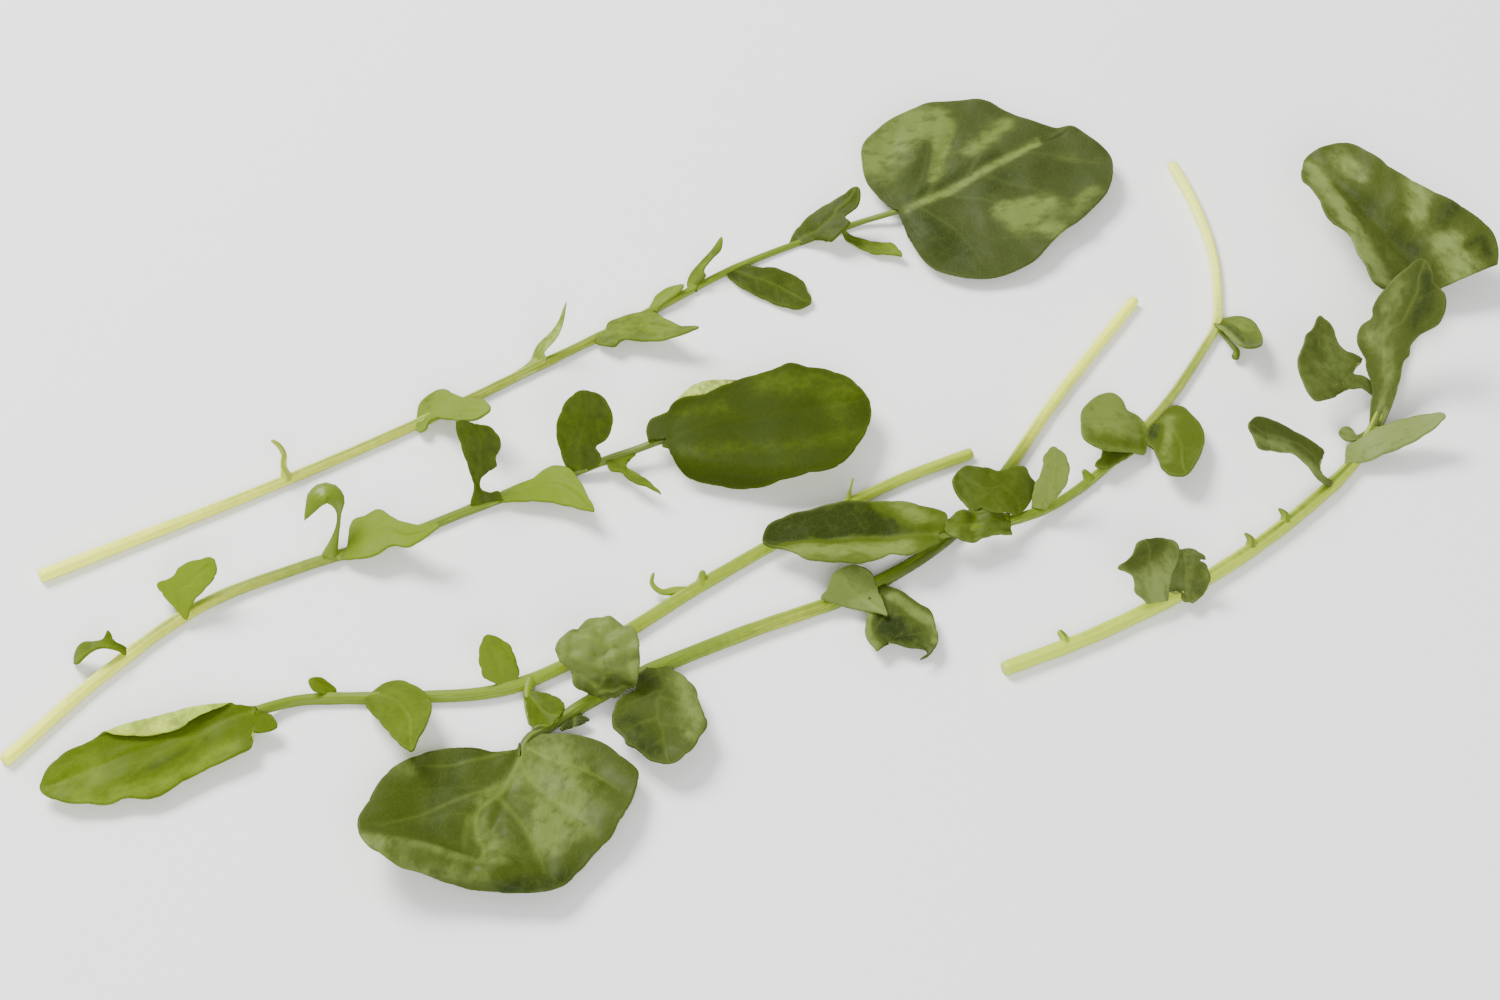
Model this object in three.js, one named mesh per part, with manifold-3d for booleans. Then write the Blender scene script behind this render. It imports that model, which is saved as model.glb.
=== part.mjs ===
// A bunch of winter cress: six freshly picked leaves lying spread out together, in millimetres, +Z up.
// Each leaf is a pale bare petiole, which runs on into a green rachis with its small side leaflets,
// hooks and spurs, and ends in one large rounded terminal leaflet.
import * as THREE from 'three';
import { mergeVertices } from 'three/addons/utils/BufferGeometryUtils.js';
import Module from 'manifold-3d';

const wasm = await Module();
wasm.setup();

// Driving dimensions
const BLADE_THICKNESS = 0.7;
const STALK_SIDES = 8;
const RING_SPACING = 5;
const SPUR_SIDES = 5;
const SPUR_RINGS = 5;
const NODE_GAP = 0.3;
const LAYOUT_CENTRE = { x: 5.887, y: 3.651 };

// Stations along a side leaflet, as shares of its length, where its half widths are given
const STATIONS = [0, 0.1, 0.3, 0.5, 0.7, 0.9, 1];
const NECK_SHARE = 0.55;
const TIP_SHARE = 0.35;
const SMALLEST_HALF_WIDTH = 0.4;
const ACROSS = [-1, 0, 1];

// A terminal leaflet is a fan of veins from the top of its rachis out to its notched margin
const VEINS = 30;
const FAN_RINGS = [0.34, 0.64, 0.86, 1];
const NOTCH = 0.02;
const MIDRIB_SHARE = 0.72;
const MIDRIB_RADIUS = 0.5;
const RIB_SHARES = [0, 0.25, 0.5, 0.75, 1];
const BEND_STEPS = 12;
const PROBE = 0.5;

const PETIOLE = { color: '#cfd2a0', roughness: 0.45 };
const BLADE = { color: '#7f8c3f', roughness: 0.55 };

// The six leaves. A route is the stalk's line on the surface as [x, y, lift of its underside], from the
// cut end to the base of the terminal leaflet; petiole is how far its bare pale stretch reaches along it.
// Headings are degrees in plan from +X, pitch is degrees above level, left and right are half widths.
// A terminal's outline is [along the midrib, across it], from its left base round the tip to its right.
// A hem is the stretch of blade beyond a line, which turns over about that line.
const LEAVES = [
  {
    route: [[-112.5, -17, 0], [-96, -8, 0], [-80.5, 0.5, 0], [-65, 9.5, 0], [-50.5, 18.5, 0],
      [-35, 29, 0], [-17.5, 41, 0], [-1.5, 52.5, 0], [17, 62, 0], [25.3, 64, 1.6]],
    radii: [1.1, 0.9, 0.85, 0.75, 0.6, 0.5],
    petiole: 36,
    terminal: { heading: 17, pitch: 4, droop: 7, rise: [3, -1], cup: [4, -6], wave: 0.7, waves: 3.5,
      outline: [[-1.5, -2], [-3, -9.5], [-1.5, -16.5], [3, -20], [11.5, -22], [18.5, -21], [24, -17],
        [31, -11], [35.5, -7.5], [38.5, 2], [35.5, 7.5], [28, 12.5], [21.5, 16], [13, 19], [5.5, 17.5],
        [1, 13], [-0.5, 6.5], [0, 1]] },
    leaflets: [
      { at: 69, heading: -18, pitch: 32, length: 12.5, left: [4.5, 4.5, 3, 2, 1],
        right: [3.5, 2.5, 2.2, 2, 1.5] },
      { at: 92, heading: 66, pitch: 42, length: 10.5, left: [3, 2, 1, 0.6, 0.5],
        right: [0.5, 0.5, 0.5, 0.5, 0.4] },
      { at: 101.5, heading: -5, pitch: 12, length: 17, left: [4.5, 5, 4.5, 2, 0.8],
        right: [2.2, 1.4, 1.5, 1.6, 1] },
      { at: 113, heading: 42, pitch: 10, length: 7, left: [1.2, 1.8, 1.8, 1.5, 0.8],
        right: [0.5, 0.5, 0.5, 0.5, 0.5] },
      { at: 121, heading: 51, pitch: 30, length: 10, left: [1, 1, 0.8, 0.5, 0.4],
        right: [0.5, 1.4, 0.6, 0.8, 0.6] },
      { at: 129.5, heading: -33, pitch: 6, length: 16, droop: 10, left: [1.5, 2.5, 3.3, 3.3, 2],
        right: [2, 3, 3.6, 3.8, 3] },
      { at: 143.5, heading: 33, pitch: 32, length: 13, left: [3.6, 3.7, 2.6, 1.9, 1.2],
        right: [0.5, 1.8, 3.2, 2.3, 1.6] },
      { at: 150.5, heading: -38, pitch: 6, length: 13, left: [0.5, 0.5, 0.5, 1.5, 1],
        right: [1.5, 2.2, 2.2, 1.5, 0.6] },
    ],
    spurs: [
      { at: 43, path: [[0, 0, 0], [-0.5, 1, 2], [-0.4, 2, 4], [-1.2, 2.8, 5.2], [-2.4, 3.4, 5.8]],
        radii: [1, 0.5] },
    ],
  },
  {
    route: [[-114, -54, 0], [-101, -37.5, 0], [-86.5, -23, 0], [-71.5, -15, 0], [-56, -8.5, 0],
      [-40, 0, 0], [-29, 5, 0.3], [-13.5, 10.2, 3]],
    radii: [1.05, 1, 0.95, 0.82, 0.8, 0.6],
    petiole: 20,
    terminal: { heading: 14, pitch: 4, droop: 8, rise: [3, 2], cup: [6, -6], wave: 0.8, waves: 3.5,
      hem: { from: [0, 2.5], to: [27, 13], depth: 3.5, turn: -60 },
      outline: [[-2, 1], [-3, -3], [0, -5.5], [4, -8], [8.5, -10], [13.5, -10.5], [19.5, -9.5], [25, -8],
        [31.5, -4.5], [33.5, 3], [31.5, 9], [27, 13.5], [22, 14.5], [15, 14.5], [9, 13.5], [3.5, 10.5],
        [0.5, 6.5], [0, 2.3]] },
    leaflets: [
      { at: 24.5, heading: 100, pitch: 35, length: 5.5, left: [3.6, 3.4, 2.5, 1.5, 0.6],
        right: [1, 1, 0.8, 0.5, 0.4] },
      { at: 38, heading: 49, pitch: 35, length: 10.5, left: [5, 6.3, 5.5, 4.7, 3.2],
        right: [0.5, 0.5, 0.7, 0.9, 0.6] },
      { at: 66.5, heading: 3, pitch: 20, length: 15.5, left: [7, 7.2, 4.2, 2, 0.8],
        right: [2.3, 1.7, 1.7, 2, 1] },
      { at: 90, heading: 103, pitch: 50, length: 13.7, left: [1.5, 1.5, 2, 2.5, 2.6],
        right: [0.6, 1.2, 4, 4.9, 3.3] },
      { at: 93.5, heading: -21, pitch: 10, length: 16, left: [3, 7, 8, 6, 2.6],
        right: [1, 0.5, 0.5, 0.5, 0.5] },
      { at: 107.5, heading: 89, pitch: 45, length: 12.5, left: [3.5, 4, 4.3, 3.8, 2.2],
        right: [3.2, 3.6, 5, 5, 3.6] },
      { at: 112.5, heading: -45, pitch: 5, length: 11, left: [1.5, 0.6, 0.7, 0.6, 0.5],
        right: [1.3, 0.9, 0.9, 0.5, 0.4] },
    ],
    spurs: [
      { at: 24.5, path: [[0, 0, 0], [-2, 0.3, 0.4], [-4, 0.4, 0.6], [-6.2, 0.3, 0.7]], radii: [1, 0.45] },
      { at: 63.5, path: [[0, 0, 0], [1, 2.2, 2.4], [1.6, 4.4, 4.5], [1.8, 6.6, 6.8], [0.3, 7.9, 8.1],
        [-1.8, 7.2, 7.4], [-2.6, 6, 6.1], [-3.9, 4.2, 4.3]], radii: [1.3, 0.8] },
    ],
  },
  {
    route: [[36, 9.5, 0], [24, 3.5, 0], [8, -7, 0], [-8, -19, 0], [-23.5, -31.5, 0], [-38.5, -40, 0],
      [-54, -41.5, 0], [-69.5, -42, 0], [-76, -45, 1.2]],
    radii: [0.9, 0.95, 1.05, 1.05, 0.95, 0.85],
    petiole: 20,
    terminal: { heading: -155, pitch: 2, droop: 6, rise: [-2, 9], cup: [-4, 16], wave: 0.6, waves: 4,
      hem: { from: [3, 4], to: [34, 5.5], depth: 3.2, turn: 165 },
      outline: [[-2, -1.5], [-2, -4], [2, -4], [2.5, -6.5], [9, -6.8], [15, -8], [21.5, -8.2], [28, -6.6],
        [34, -2.5], [34.5, 0.5], [31, 4.5], [25, 8.5], [20, 10.5], [12, 10], [6, 7], [1, 3.5],
        [0, 1.2]] },
    leaflets: [
      { at: 89, heading: 112, pitch: 40, length: 9.5, left: [2, 2.6, 2.8, 2.5, 1.8],
        right: [2.2, 2.9, 3.1, 2.9, 1.6] },
      { at: 86, heading: -52, pitch: 8, length: 7.2, left: [1.5, 2, 2, 1.5, 1],
        right: [2, 3.2, 3.5, 3, 2] },
      { at: 110.5, heading: -61, pitch: 20, length: 15.6, left: [5.5, 7.5, 7, 4.5, 2],
        right: [1.2, 1.2, 1.2, 1.2, 1.2] },
      { at: 116, heading: 151, pitch: 35, length: 4.5, left: [0.5, 0.5, 0.5, 0.8, 0.5],
        right: [2, 1.9, 1.8, 1.6, 0.6] },
    ],
    spurs: [
      { at: 23, path: [[0, 0, 0], [0.1, 1.2, 1.2], [0.4, 2, 2.2], [0.7, 2.9, 3.1]], radii: [0.9, 0.4] },
      { at: 52.3, path: [[0, 0, 0], [0.2, 0.9, 0.9], [0.3, 1.6, 1.9]], radii: [1, 0.5] },
      { at: 54.5, path: [[0, 0, 0], [-2.4, 0, 0.2], [-4.6, -0.4, 0.6], [-6, 0.9, 1.2], [-5.7, 2.4, 2]],
        radii: [1.1, 0.5] },
    ],
  },
  {
    route: [[64.5, 44, 0], [50, 21, 0], [40, 3, 0], [31, -9.5, 0], [17.5, -20, 0], [-1.5, -29, 0],
      [-20, -39, 0], [-35, -50.9, 0.6]],
    radii: [0.9, 0.9, 0.95, 1.05, 1.05, 0.95],
    petiole: 66,
    terminal: { heading: -103, pitch: 6, droop: 8, rise: [0, 6], cup: [0, 2], wave: 0.9, waves: 4,
      hem: { from: [32.5, -4], to: [21, 17.5], depth: 5, turn: -70 },
      outline: [[-1.5, -0.5], [-3.5, -5], [-3, -11], [-0.5, -17], [4, -20], [8.5, -19.5], [16, -17.5],
        [23, -14.5], [27, -11.5], [32, -1], [31, 6], [28, 14.5], [23, 19], [17.5, 19.5], [10.5, 18],
        [5, 13], [3, 9], [2.5, 1]] },
    leaflets: [
      { at: 81.5, heading: 95, pitch: 68, length: 6.2, left: [4.5, 4.3, 3.8, 3.2, 2],
        right: [4.5, 4.6, 4.4, 3.8, 2.6] },
      { at: 77, heading: -74, pitch: 45, droop: 90, length: 15.8, left: [2, 4.5, 6, 6.3, 4.8],
        right: [2, 4, 5, 5, 4.6] },
      { at: 127, heading: 88, pitch: 85, droop: 100, length: 14, left: [4, 4.5, 6.3, 6.6, 4.4],
        right: [5, 5.5, 6.3, 6.2, 4.4] },
      { at: 117, heading: -84, pitch: 14, droop: 16, length: 20.5, left: [3, 6.5, 7.2, 6.9, 4.4],
        right: [3, 5.6, 6.9, 5.8, 3.4] },
      { at: 131, heading: -80, pitch: 4, length: 4.5, left: [3, 3, 2.4, 1.4, 0.8],
        right: [2, 2.4, 2, 1.2, 0.6] },
    ],
    spurs: [],
  },
  {
    route: [[73, 76.5, 0], [76.5, 65.5, 0], [78.5, 54, 0], [78.2, 40, 0], [75, 31.5, 0], [69, 21, 0],
      [59.5, 8.5, 0], [48.5, -2.3, 0.5], [37, -8.8, 2.7], [30, -10.3, 2.9]],
    radii: [0.94, 0.8, 0.76, 0.8, 0.8, 0.8],
    petiole: 36.5,
    terminal: { heading: 182, pitch: -2, droop: 0, rise: [14, 16], cup: [4, 6], wave: 0.4, waves: 3,
      outline: [[0, -2], [4.5, -5], [7.5, -4.2], [13.5, -5.5], [20, -5.5], [24, -3.8], [28.3, 0],
        [25.5, 3.2], [21, 4.6], [15, 5.5], [8.5, 6.1], [1, 5.6], [-1.5, 3.2], [-1, 0.5]] },
    leaflets: [
      { at: 38.2, heading: -39, pitch: 14, length: 10.4, left: [1.5, 2.9, 2.8, 2.3, 1.4],
        right: [1.5, 4, 5.5, 6.2, 4.6] },
      { at: 67.8, heading: -177, pitch: 27, length: 11.3, left: [3.4, 4.6, 5, 5.6, 5],
        right: [3, 6.5, 7.4, 6, 3] },
      { at: 64.5, heading: -60, pitch: 10, length: 12.3, left: [3, 6, 6, 5.2, 3],
        right: [1, 3.8, 4.8, 5.5, 4.2] },
      { at: 92.4, heading: 70, pitch: 42, length: 10, left: [1.5, 1.9, 1.4, 1.4, 0.8],
        right: [1.5, 2.4, 3.1, 2.9, 1.3] },
      { at: 96, heading: 160, pitch: 40, length: 13, left: [1, 1, 3, 4.5, 3.8],
        right: [6.5, 7.5, 6, 4.2, 2.5] },
      { at: 99.5, heading: 184, pitch: 8, length: 8.5, left: [2, 2.2, 2.2, 2, 1.2],
        right: [2.4, 2.6, 2.6, 2.4, 1.6] },
    ],
    spurs: [
      { at: 81, path: [[0, 0, 0], [-0.5, 0.7, 0.8], [-1.1, 1.2, 1.4]], radii: [0.9, 0.5] },
    ],
  },
  {
    route: [[39.5, -36, 0], [55, -28.5, 0], [73, -17, 0], [88.5, -3.5, 0], [99, 9, 0], [105.5, 24.5, 0],
      [109.5, 38, 1.2], [113, 45, 3.2]],
    radii: [1.18, 1.18, 1.18, 1.1, 0.9, 0.8],
    petiole: 24,
    terminal: { heading: 125, pitch: 12, droop: 14, rise: [14, 10], cup: [4, 4], wave: 0.8, waves: 3,
      outline: [[-2.5, -2.5], [1.5, -7.5], [8.5, -7.5], [16, -6], [23, -5.2], [28.5, -4.2], [30.5, -2.5],
        [31.5, 0], [30, 6], [23.5, 9.3], [13.5, 13], [5.5, 15.5], [-2.5, 15], [-2.5, 10.5],
        [-2.5, 1.5]] },
    leaflets: [
      { at: 29.5, heading: 118, pitch: 40, length: 10.2, left: [2, 4.2, 4.4, 3.8, 2.8],
        right: [2.6, 3.5, 4.3, 4.8, 3.4] },
      { at: 34.5, heading: 102, pitch: 40, length: 7, left: [1.8, 1.9, 1.7, 1.6, 1.2],
        right: [2, 2.6, 2.7, 2.5, 1.7] },
      { at: 67.5, heading: 165, pitch: 36, length: 18, left: [1, 1.7, 1.6, 2.9, 3.2],
        right: [1, 4.1, 4.4, 3.6, 2.4] },
      { at: 81, heading: 180, pitch: 10, length: 5.6, left: [0.5, 0.5, 1, 1.3, 1],
        right: [0.5, 0.5, 1, 1.3, 1] },
      { at: 77, heading: 15, pitch: 16, length: 13.8, left: [3, 2.8, 2.7, 2.2, 1.4],
        right: [2.6, 2.8, 2.2, 1.6, 1] },
      { at: 91, heading: 145, pitch: 30, length: 16.5, left: [4.5, 9, 12.8, 12, 7.8],
        right: [1, 0.8, 0.7, 1, 1.3] },
      { at: 88, heading: 70, pitch: 35, length: 24.3, left: [2.5, 6.8, 7.1, 5.6, 3.2],
        right: [1, 1.8, 4, 6.4, 4] },
    ],
    spurs: [
      { at: 11, path: [[0, 0, 0], [-0.2, 0.9, 1], [-0.9, 1.8, 1.9]], radii: [1.1, 0.55] },
      { at: 29.5, path: [[-3.5, 3.4, 3.4], [-5.6, 4, 3.4], [-7.8, 3.6, 3.2]], radii: [0.9, 0.4] },
      { at: 47.5, path: [[0, 0, 0], [0, 1.4, 1.5], [0.2, 2.7, 2.8]], radii: [1.1, 0.45] },
      { at: 55.5, path: [[0, 0, 0], [-0.2, 1.1, 1.2], [-0.5, 2.3, 2.5]], radii: [1.1, 0.45] },
    ],
  },
];

const UP = new THREE.Vector3(0, 0, 1);
const radians = THREE.MathUtils.degToRad;

// A closed solid from a geometry whose faces all point out
function solidOf(geometry) {
  geometry.deleteAttribute('normal');
  geometry.deleteAttribute('uv');
  const merged = mergeVertices(geometry, 1e-5);
  return new wasm.Manifold(new wasm.Mesh({
    numProp: 3,
    vertProperties: Float32Array.from(merged.attributes.position.array),
    triVerts: Uint32Array.from(merged.index.array),
  }));
}

function geometryOf(solid) {
  const mesh = solid.getMesh();
  const geometry = new THREE.BufferGeometry();
  geometry.setAttribute('position', new THREE.BufferAttribute(Float32Array.from(mesh.vertProperties), 3));
  geometry.setIndex(new THREE.BufferAttribute(Uint32Array.from(mesh.triVerts), 1));
  geometry.computeVertexNormals();
  return geometry;
}

// The value of a list of evenly spaced samples at a share of its length, smoothly between them
function sample(values, share) {
  const place = THREE.MathUtils.clamp(share, 0, 1) * (values.length - 1);
  const index = Math.min(Math.floor(place), values.length - 2);
  const before = values[Math.max(index - 1, 0)];
  const after = values[Math.min(index + 2, values.length - 1)];
  const [a, b] = [values[index], values[index + 1]];
  const t = place - index;
  const slopeA = (b - before) / 2;
  const slopeB = (after - a) / 2;
  const square = 3 * (b - a) - 2 * slopeA - slopeB;
  const cube = 2 * (a - b) + slopeA + slopeB;
  return a + t * (slopeA + t * (square + t * cube));
}

// The line that a stalk's centre follows: its flat underside is its lift above the surface
function stalkCurve(leaf) {
  const flat = Math.cos(Math.PI / STALK_SIDES);
  const points = leaf.route.map(([x, y, lift], index) => {
    const radius = sample(leaf.radii, index / (leaf.route.length - 1));
    return new THREE.Vector3(x, y, lift + radius * flat);
  });
  const curve = new THREE.CatmullRomCurve3(points, false, 'centripetal');
  curve.arcLengthDivisions = 400;
  return curve;
}

// A rod of a few sides bent along a curve between two shares of its length, with a radius for each share
function bentRod(curve, from, to, rings, sides, radiusAt) {
  const rod = new THREE.CylinderGeometry(1, 1, 1, sides, rings, false, Math.PI / sides);
  const place = rod.attributes.position;
  for (let index = 0; index < place.count; index += 1) {
    const share = from + (place.getY(index) + 0.5) * (to - from);
    const centre = curve.getPointAt(share);
    const tangent = curve.getTangentAt(share);
    const side = new THREE.Vector3().crossVectors(tangent, UP).normalize();
    const top = new THREE.Vector3().crossVectors(side, tangent);
    const radius = radiusAt(share);
    centre.addScaledVector(side, place.getX(index) * radius);
    centre.addScaledVector(top, place.getZ(index) * radius);
    place.setXYZ(index, centre.x, centre.y, Math.max(centre.z, 0));
  }
  return solidOf(rod);
}

// Where a point of a flat leaflet comes to lie once its midrib is turned and drooped and its halves are
// raised. forward runs along its midrib and across to the right of it, both in millimetres.
function drape(leaflet, root, forward, across) {
  const step = forward / BEND_STEPS;
  const point = root.clone();
  const tangent = new THREE.Vector3();
  for (let index = 0; index < BEND_STEPS; index += 1) {
    const share = Math.max(((index + 0.5) * step) / leaflet.length, 0);
    const heading = radians(leaflet.heading);
    const pitch = radians(leaflet.pitch - (leaflet.droop ?? 0) * share);
    tangent.set(Math.cos(pitch) * Math.cos(heading), Math.cos(pitch) * Math.sin(heading), Math.sin(pitch));
    point.addScaledVector(tangent, step);
  }
  const plan = radians(leaflet.heading);
  const side = new THREE.Vector3(Math.sin(plan), -Math.cos(plan), 0);
  const normal = new THREE.Vector3().crossVectors(side, tangent);
  const hand = across < 0 ? 0 : 1;
  const rise = radians((leaflet.rise ?? [0, 0])[hand]);
  const cup = radians((leaflet.cup ?? [0, 0])[hand]);
  const outStep = Math.abs(across) / BEND_STEPS;
  for (let index = 0; index < BEND_STEPS; index += 1) {
    const angle = rise + (cup * (index + 0.5) * outStep) / leaflet.width;
    point.addScaledVector(side, Math.sign(across) * Math.cos(angle) * outStep);
    point.addScaledVector(normal, Math.sin(angle) * outStep);
  }
  return point;
}

// The same, with the blade beyond the line of its hem turned over about that line
function bend(leaflet, root, forward, across) {
  if (!leaflet.hem) {
    return drape(leaflet, root, forward, across);
  }
  const { from, to, depth, turn } = leaflet.hem;
  const outward = new THREE.Vector2(to[1] - from[1], from[0] - to[0]).normalize();
  if (outward.dot(new THREE.Vector2(...from)) < 0) {
    outward.negate();
  }
  const beyond = outward.dot(new THREE.Vector2(forward - from[0], across - from[1]));
  if (beyond <= 0) {
    return drape(leaflet, root, forward, across);
  }
  const foot = [forward - outward.x * beyond, across - outward.y * beyond];
  const point = drape(leaflet, root, ...foot);
  const ahead = drape(leaflet, root, foot[0] - PROBE, foot[1]).sub(point).negate();
  const right = drape(leaflet, root, foot[0], foot[1] - PROBE).sub(point).negate();
  const normal = new THREE.Vector3().crossVectors(right, ahead).normalize();
  const out = ahead.multiplyScalar(outward.x).addScaledVector(right, outward.y).normalize();
  const step = beyond / BEND_STEPS;
  for (let index = 0; index < BEND_STEPS; index += 1) {
    const angle = radians(turn) * Math.min(((index + 0.5) * step) / depth, 1);
    point.addScaledVector(out, Math.cos(angle) * step);
    point.addScaledVector(normal, Math.sin(angle) * step);
  }
  return point;
}

// A closed skin of even thickness round a grid of points: the same triangles above and below, and a rim
function thicken(points, normals, triangles) {
  const positions = [];
  const indices = [];
  const count = points.length;
  for (const side of [1, -1]) {
    points.forEach((point, index) => {
      const moved = point.clone().addScaledVector(normals[index], (side * BLADE_THICKNESS) / 2);
      positions.push(moved);
    });
  }
  for (let index = 0; index < count; index += 1) {
    const upper = positions[index];
    const lower = positions[index + count];
    const sunk = -Math.min(upper.z, lower.z);
    if (sunk > 0) {
      upper.z += sunk;
      lower.z += sunk;
    }
  }
  const edges = new Map();
  for (const [a, b, c] of triangles) {
    indices.push(a, b, c, a + count, c + count, b + count);
    for (const [from, to] of [[a, b], [b, c], [c, a]]) {
      if (edges.has(`${to},${from}`)) {
        edges.delete(`${to},${from}`);
      } else {
        edges.set(`${from},${to}`, [from, to]);
      }
    }
  }
  for (const [from, to] of edges.values()) {
    indices.push(to, from, from + count, to, from + count, to + count);
  }
  const geometry = new THREE.BufferGeometry();
  const flat = positions.flatMap((point) => [point.x, point.y, point.z]);
  geometry.setAttribute('position', new THREE.BufferAttribute(Float32Array.from(flat), 3));
  geometry.setIndex(indices);
  return solidOf(geometry);
}

// Normals of a grid of points from its own triangles, so that a bent blade keeps its thickness
function gridNormals(points, triangles) {
  const normals = points.map(() => new THREE.Vector3());
  for (const [a, b, c] of triangles) {
    const first = points[b].clone().sub(points[a]);
    const second = points[c].clone().sub(points[a]);
    const face = first.cross(second);
    for (const corner of [a, b, c]) {
      normals[corner].add(face);
    }
  }
  return normals.map((normal) => normal.normalize());
}

// A side leaflet: rows along its midrib, with half widths at their stations
function sideLeaflet(leaflet, root) {
  const widths = [leaflet.left, leaflet.right].map((list) => {
    const neck = Math.max(list[0] * NECK_SHARE, SMALLEST_HALF_WIDTH);
    const tip = Math.max(list[4] * TIP_SHARE, SMALLEST_HALF_WIDTH);
    return [neck, ...list, tip];
  });
  const shape = { ...leaflet, width: Math.max(...widths.flat()) };
  const points = [];
  const triangles = [];
  STATIONS.forEach((station, row) => {
    for (const share of ACROSS) {
      const half = widths[share < 0 ? 0 : 1][row];
      points.push(bend(shape, root, station * leaflet.length, share * half));
    }
  });
  const columns = ACROSS.length;
  for (let row = 0; row < STATIONS.length - 1; row += 1) {
    for (let column = 0; column < columns - 1; column += 1) {
      const here = row * columns + column;
      const next = here + columns;
      triangles.push([here, here + 1, next + 1], [here, next + 1, next]);
    }
  }
  return thicken(points, gridNormals(points, triangles), triangles);
}

// A terminal leaflet: a fan of points round the top of the rachis, with a raised midrib under it
function terminalLeaflet(terminal, root, stalkRadius) {
  const outline = terminal.outline.map(([forward, across]) => new THREE.Vector2(forward, across));
  const margin = new THREE.SplineCurve(outline).getSpacedPoints(VEINS);
  const length = Math.max(...outline.map((point) => point.x));
  const width = Math.max(...outline.map((point) => Math.abs(point.y)));
  const shape = { ...terminal, length, width };
  const points = [root.clone()];
  const triangles = [];
  for (const ring of FAN_RINGS) {
    margin.forEach((end, vein) => {
      const notch = vein % 2 === 0 ? 1 + NOTCH : 1 - NOTCH;
      const place = end.clone().multiplyScalar(ring * notch);
      const ripple = Math.sin(end.angle() * terminal.waves) * terminal.wave * ring * ring;
      points.push(bend(shape, root, place.x, place.y).add(new THREE.Vector3(0, 0, ripple)));
    });
  }
  const veins = margin.length;
  for (let vein = 0; vein < veins - 1; vein += 1) {
    triangles.push([0, vein + 2, vein + 1]);
    for (let ring = 0; ring < FAN_RINGS.length - 1; ring += 1) {
      const here = 1 + ring * veins + vein;
      const next = here + veins;
      triangles.push([here, here + 1, next + 1], [here, next + 1, next]);
    }
  }
  const blade = thicken(points, gridNormals(points, triangles), triangles);
  const reach = length * MIDRIB_SHARE;
  const ribPoints = RIB_SHARES.map((share) => bend(shape, root, share * reach, 0));
  const ribCurve = new THREE.CatmullRomCurve3(ribPoints);
  const rib = bentRod(ribCurve, 0, 1, 4, STALK_SIDES,
    (share) => THREE.MathUtils.lerp(stalkRadius * 0.9, MIDRIB_RADIUS, share));
  return blade.add(rib);
}

function spurSolid(spur, root) {
  const points = spur.path.map(([x, y, z]) => new THREE.Vector3(x, y, z).add(root));
  const curve = new THREE.CatmullRomCurve3(points);
  return bentRod(curve, 0, 1, SPUR_RINGS, SPUR_SIDES,
    (share) => THREE.MathUtils.lerp(spur.radii[0], spur.radii[1], Math.sqrt(share)));
}

function namedMesh(name, solid, finish) {
  const material = new THREE.MeshStandardMaterial({ ...finish, metalness: 0 });
  const mesh = new THREE.Mesh(geometryOf(solid), material);
  mesh.name = name;
  return mesh;
}

// One leaf: its bare petiole, and its blade of rachis, side leaflets, spurs and terminal leaflet
function leafMeshes(leaf, number) {
  const curve = stalkCurve(leaf);
  const length = curve.getLength();
  const radiusAt = (share) => sample(leaf.radii, share);
  const rings = (stretch) => Math.max(2, Math.round(stretch / RING_SPACING));
  let petiole = bentRod(curve, 0, leaf.petiole / length, rings(leaf.petiole), STALK_SIDES, radiusAt);
  const start = leaf.petiole + NODE_GAP;
  let blade = bentRod(curve, start / length, 1, rings(length - start), STALK_SIDES, radiusAt);
  const tip = curve.getPointAt(1);
  blade = blade.add(terminalLeaflet(leaf.terminal, tip, radiusAt(1)));
  for (const leaflet of leaf.leaflets) {
    blade = blade.add(sideLeaflet(leaflet, curve.getPointAt(leaflet.at / length)));
  }
  for (const spur of leaf.spurs) {
    const solid = spurSolid(spur, curve.getPointAt(spur.at / length));
    if (spur.at < leaf.petiole) {
      petiole = petiole.add(solid);
    } else {
      blade = blade.add(solid);
    }
  }
  return [
    namedMesh(`leaf_${number}_petiole`, petiole, PETIOLE),
    namedMesh(`leaf_${number}_blade`, blade, BLADE),
  ];
}

const bunch = new THREE.Group();
LEAVES.forEach((leaf, index) => bunch.add(...leafMeshes(leaf, index + 1)));
bunch.position.set(-LAYOUT_CENTRE.x, -LAYOUT_CENTRE.y, 0);

export default bunch;
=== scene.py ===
"""A bunch of winter cress: six freshly picked leaves lying spread out together.

Each leaf has a pale petiole that runs on into a green rachis, small side leaflets, hooks and nubs
along it, and one large rounded terminal leaflet. Lengths are in millimetres on the layout's own
plan until a finished mesh is written, which is in metres in the part's frame.
"""

import logging
import math
from dataclasses import dataclass, field
from enum import Enum
from typing import Any, Callable, Sequence

import bmesh
import bpy
import numpy as np
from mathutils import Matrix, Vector, noise


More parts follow.
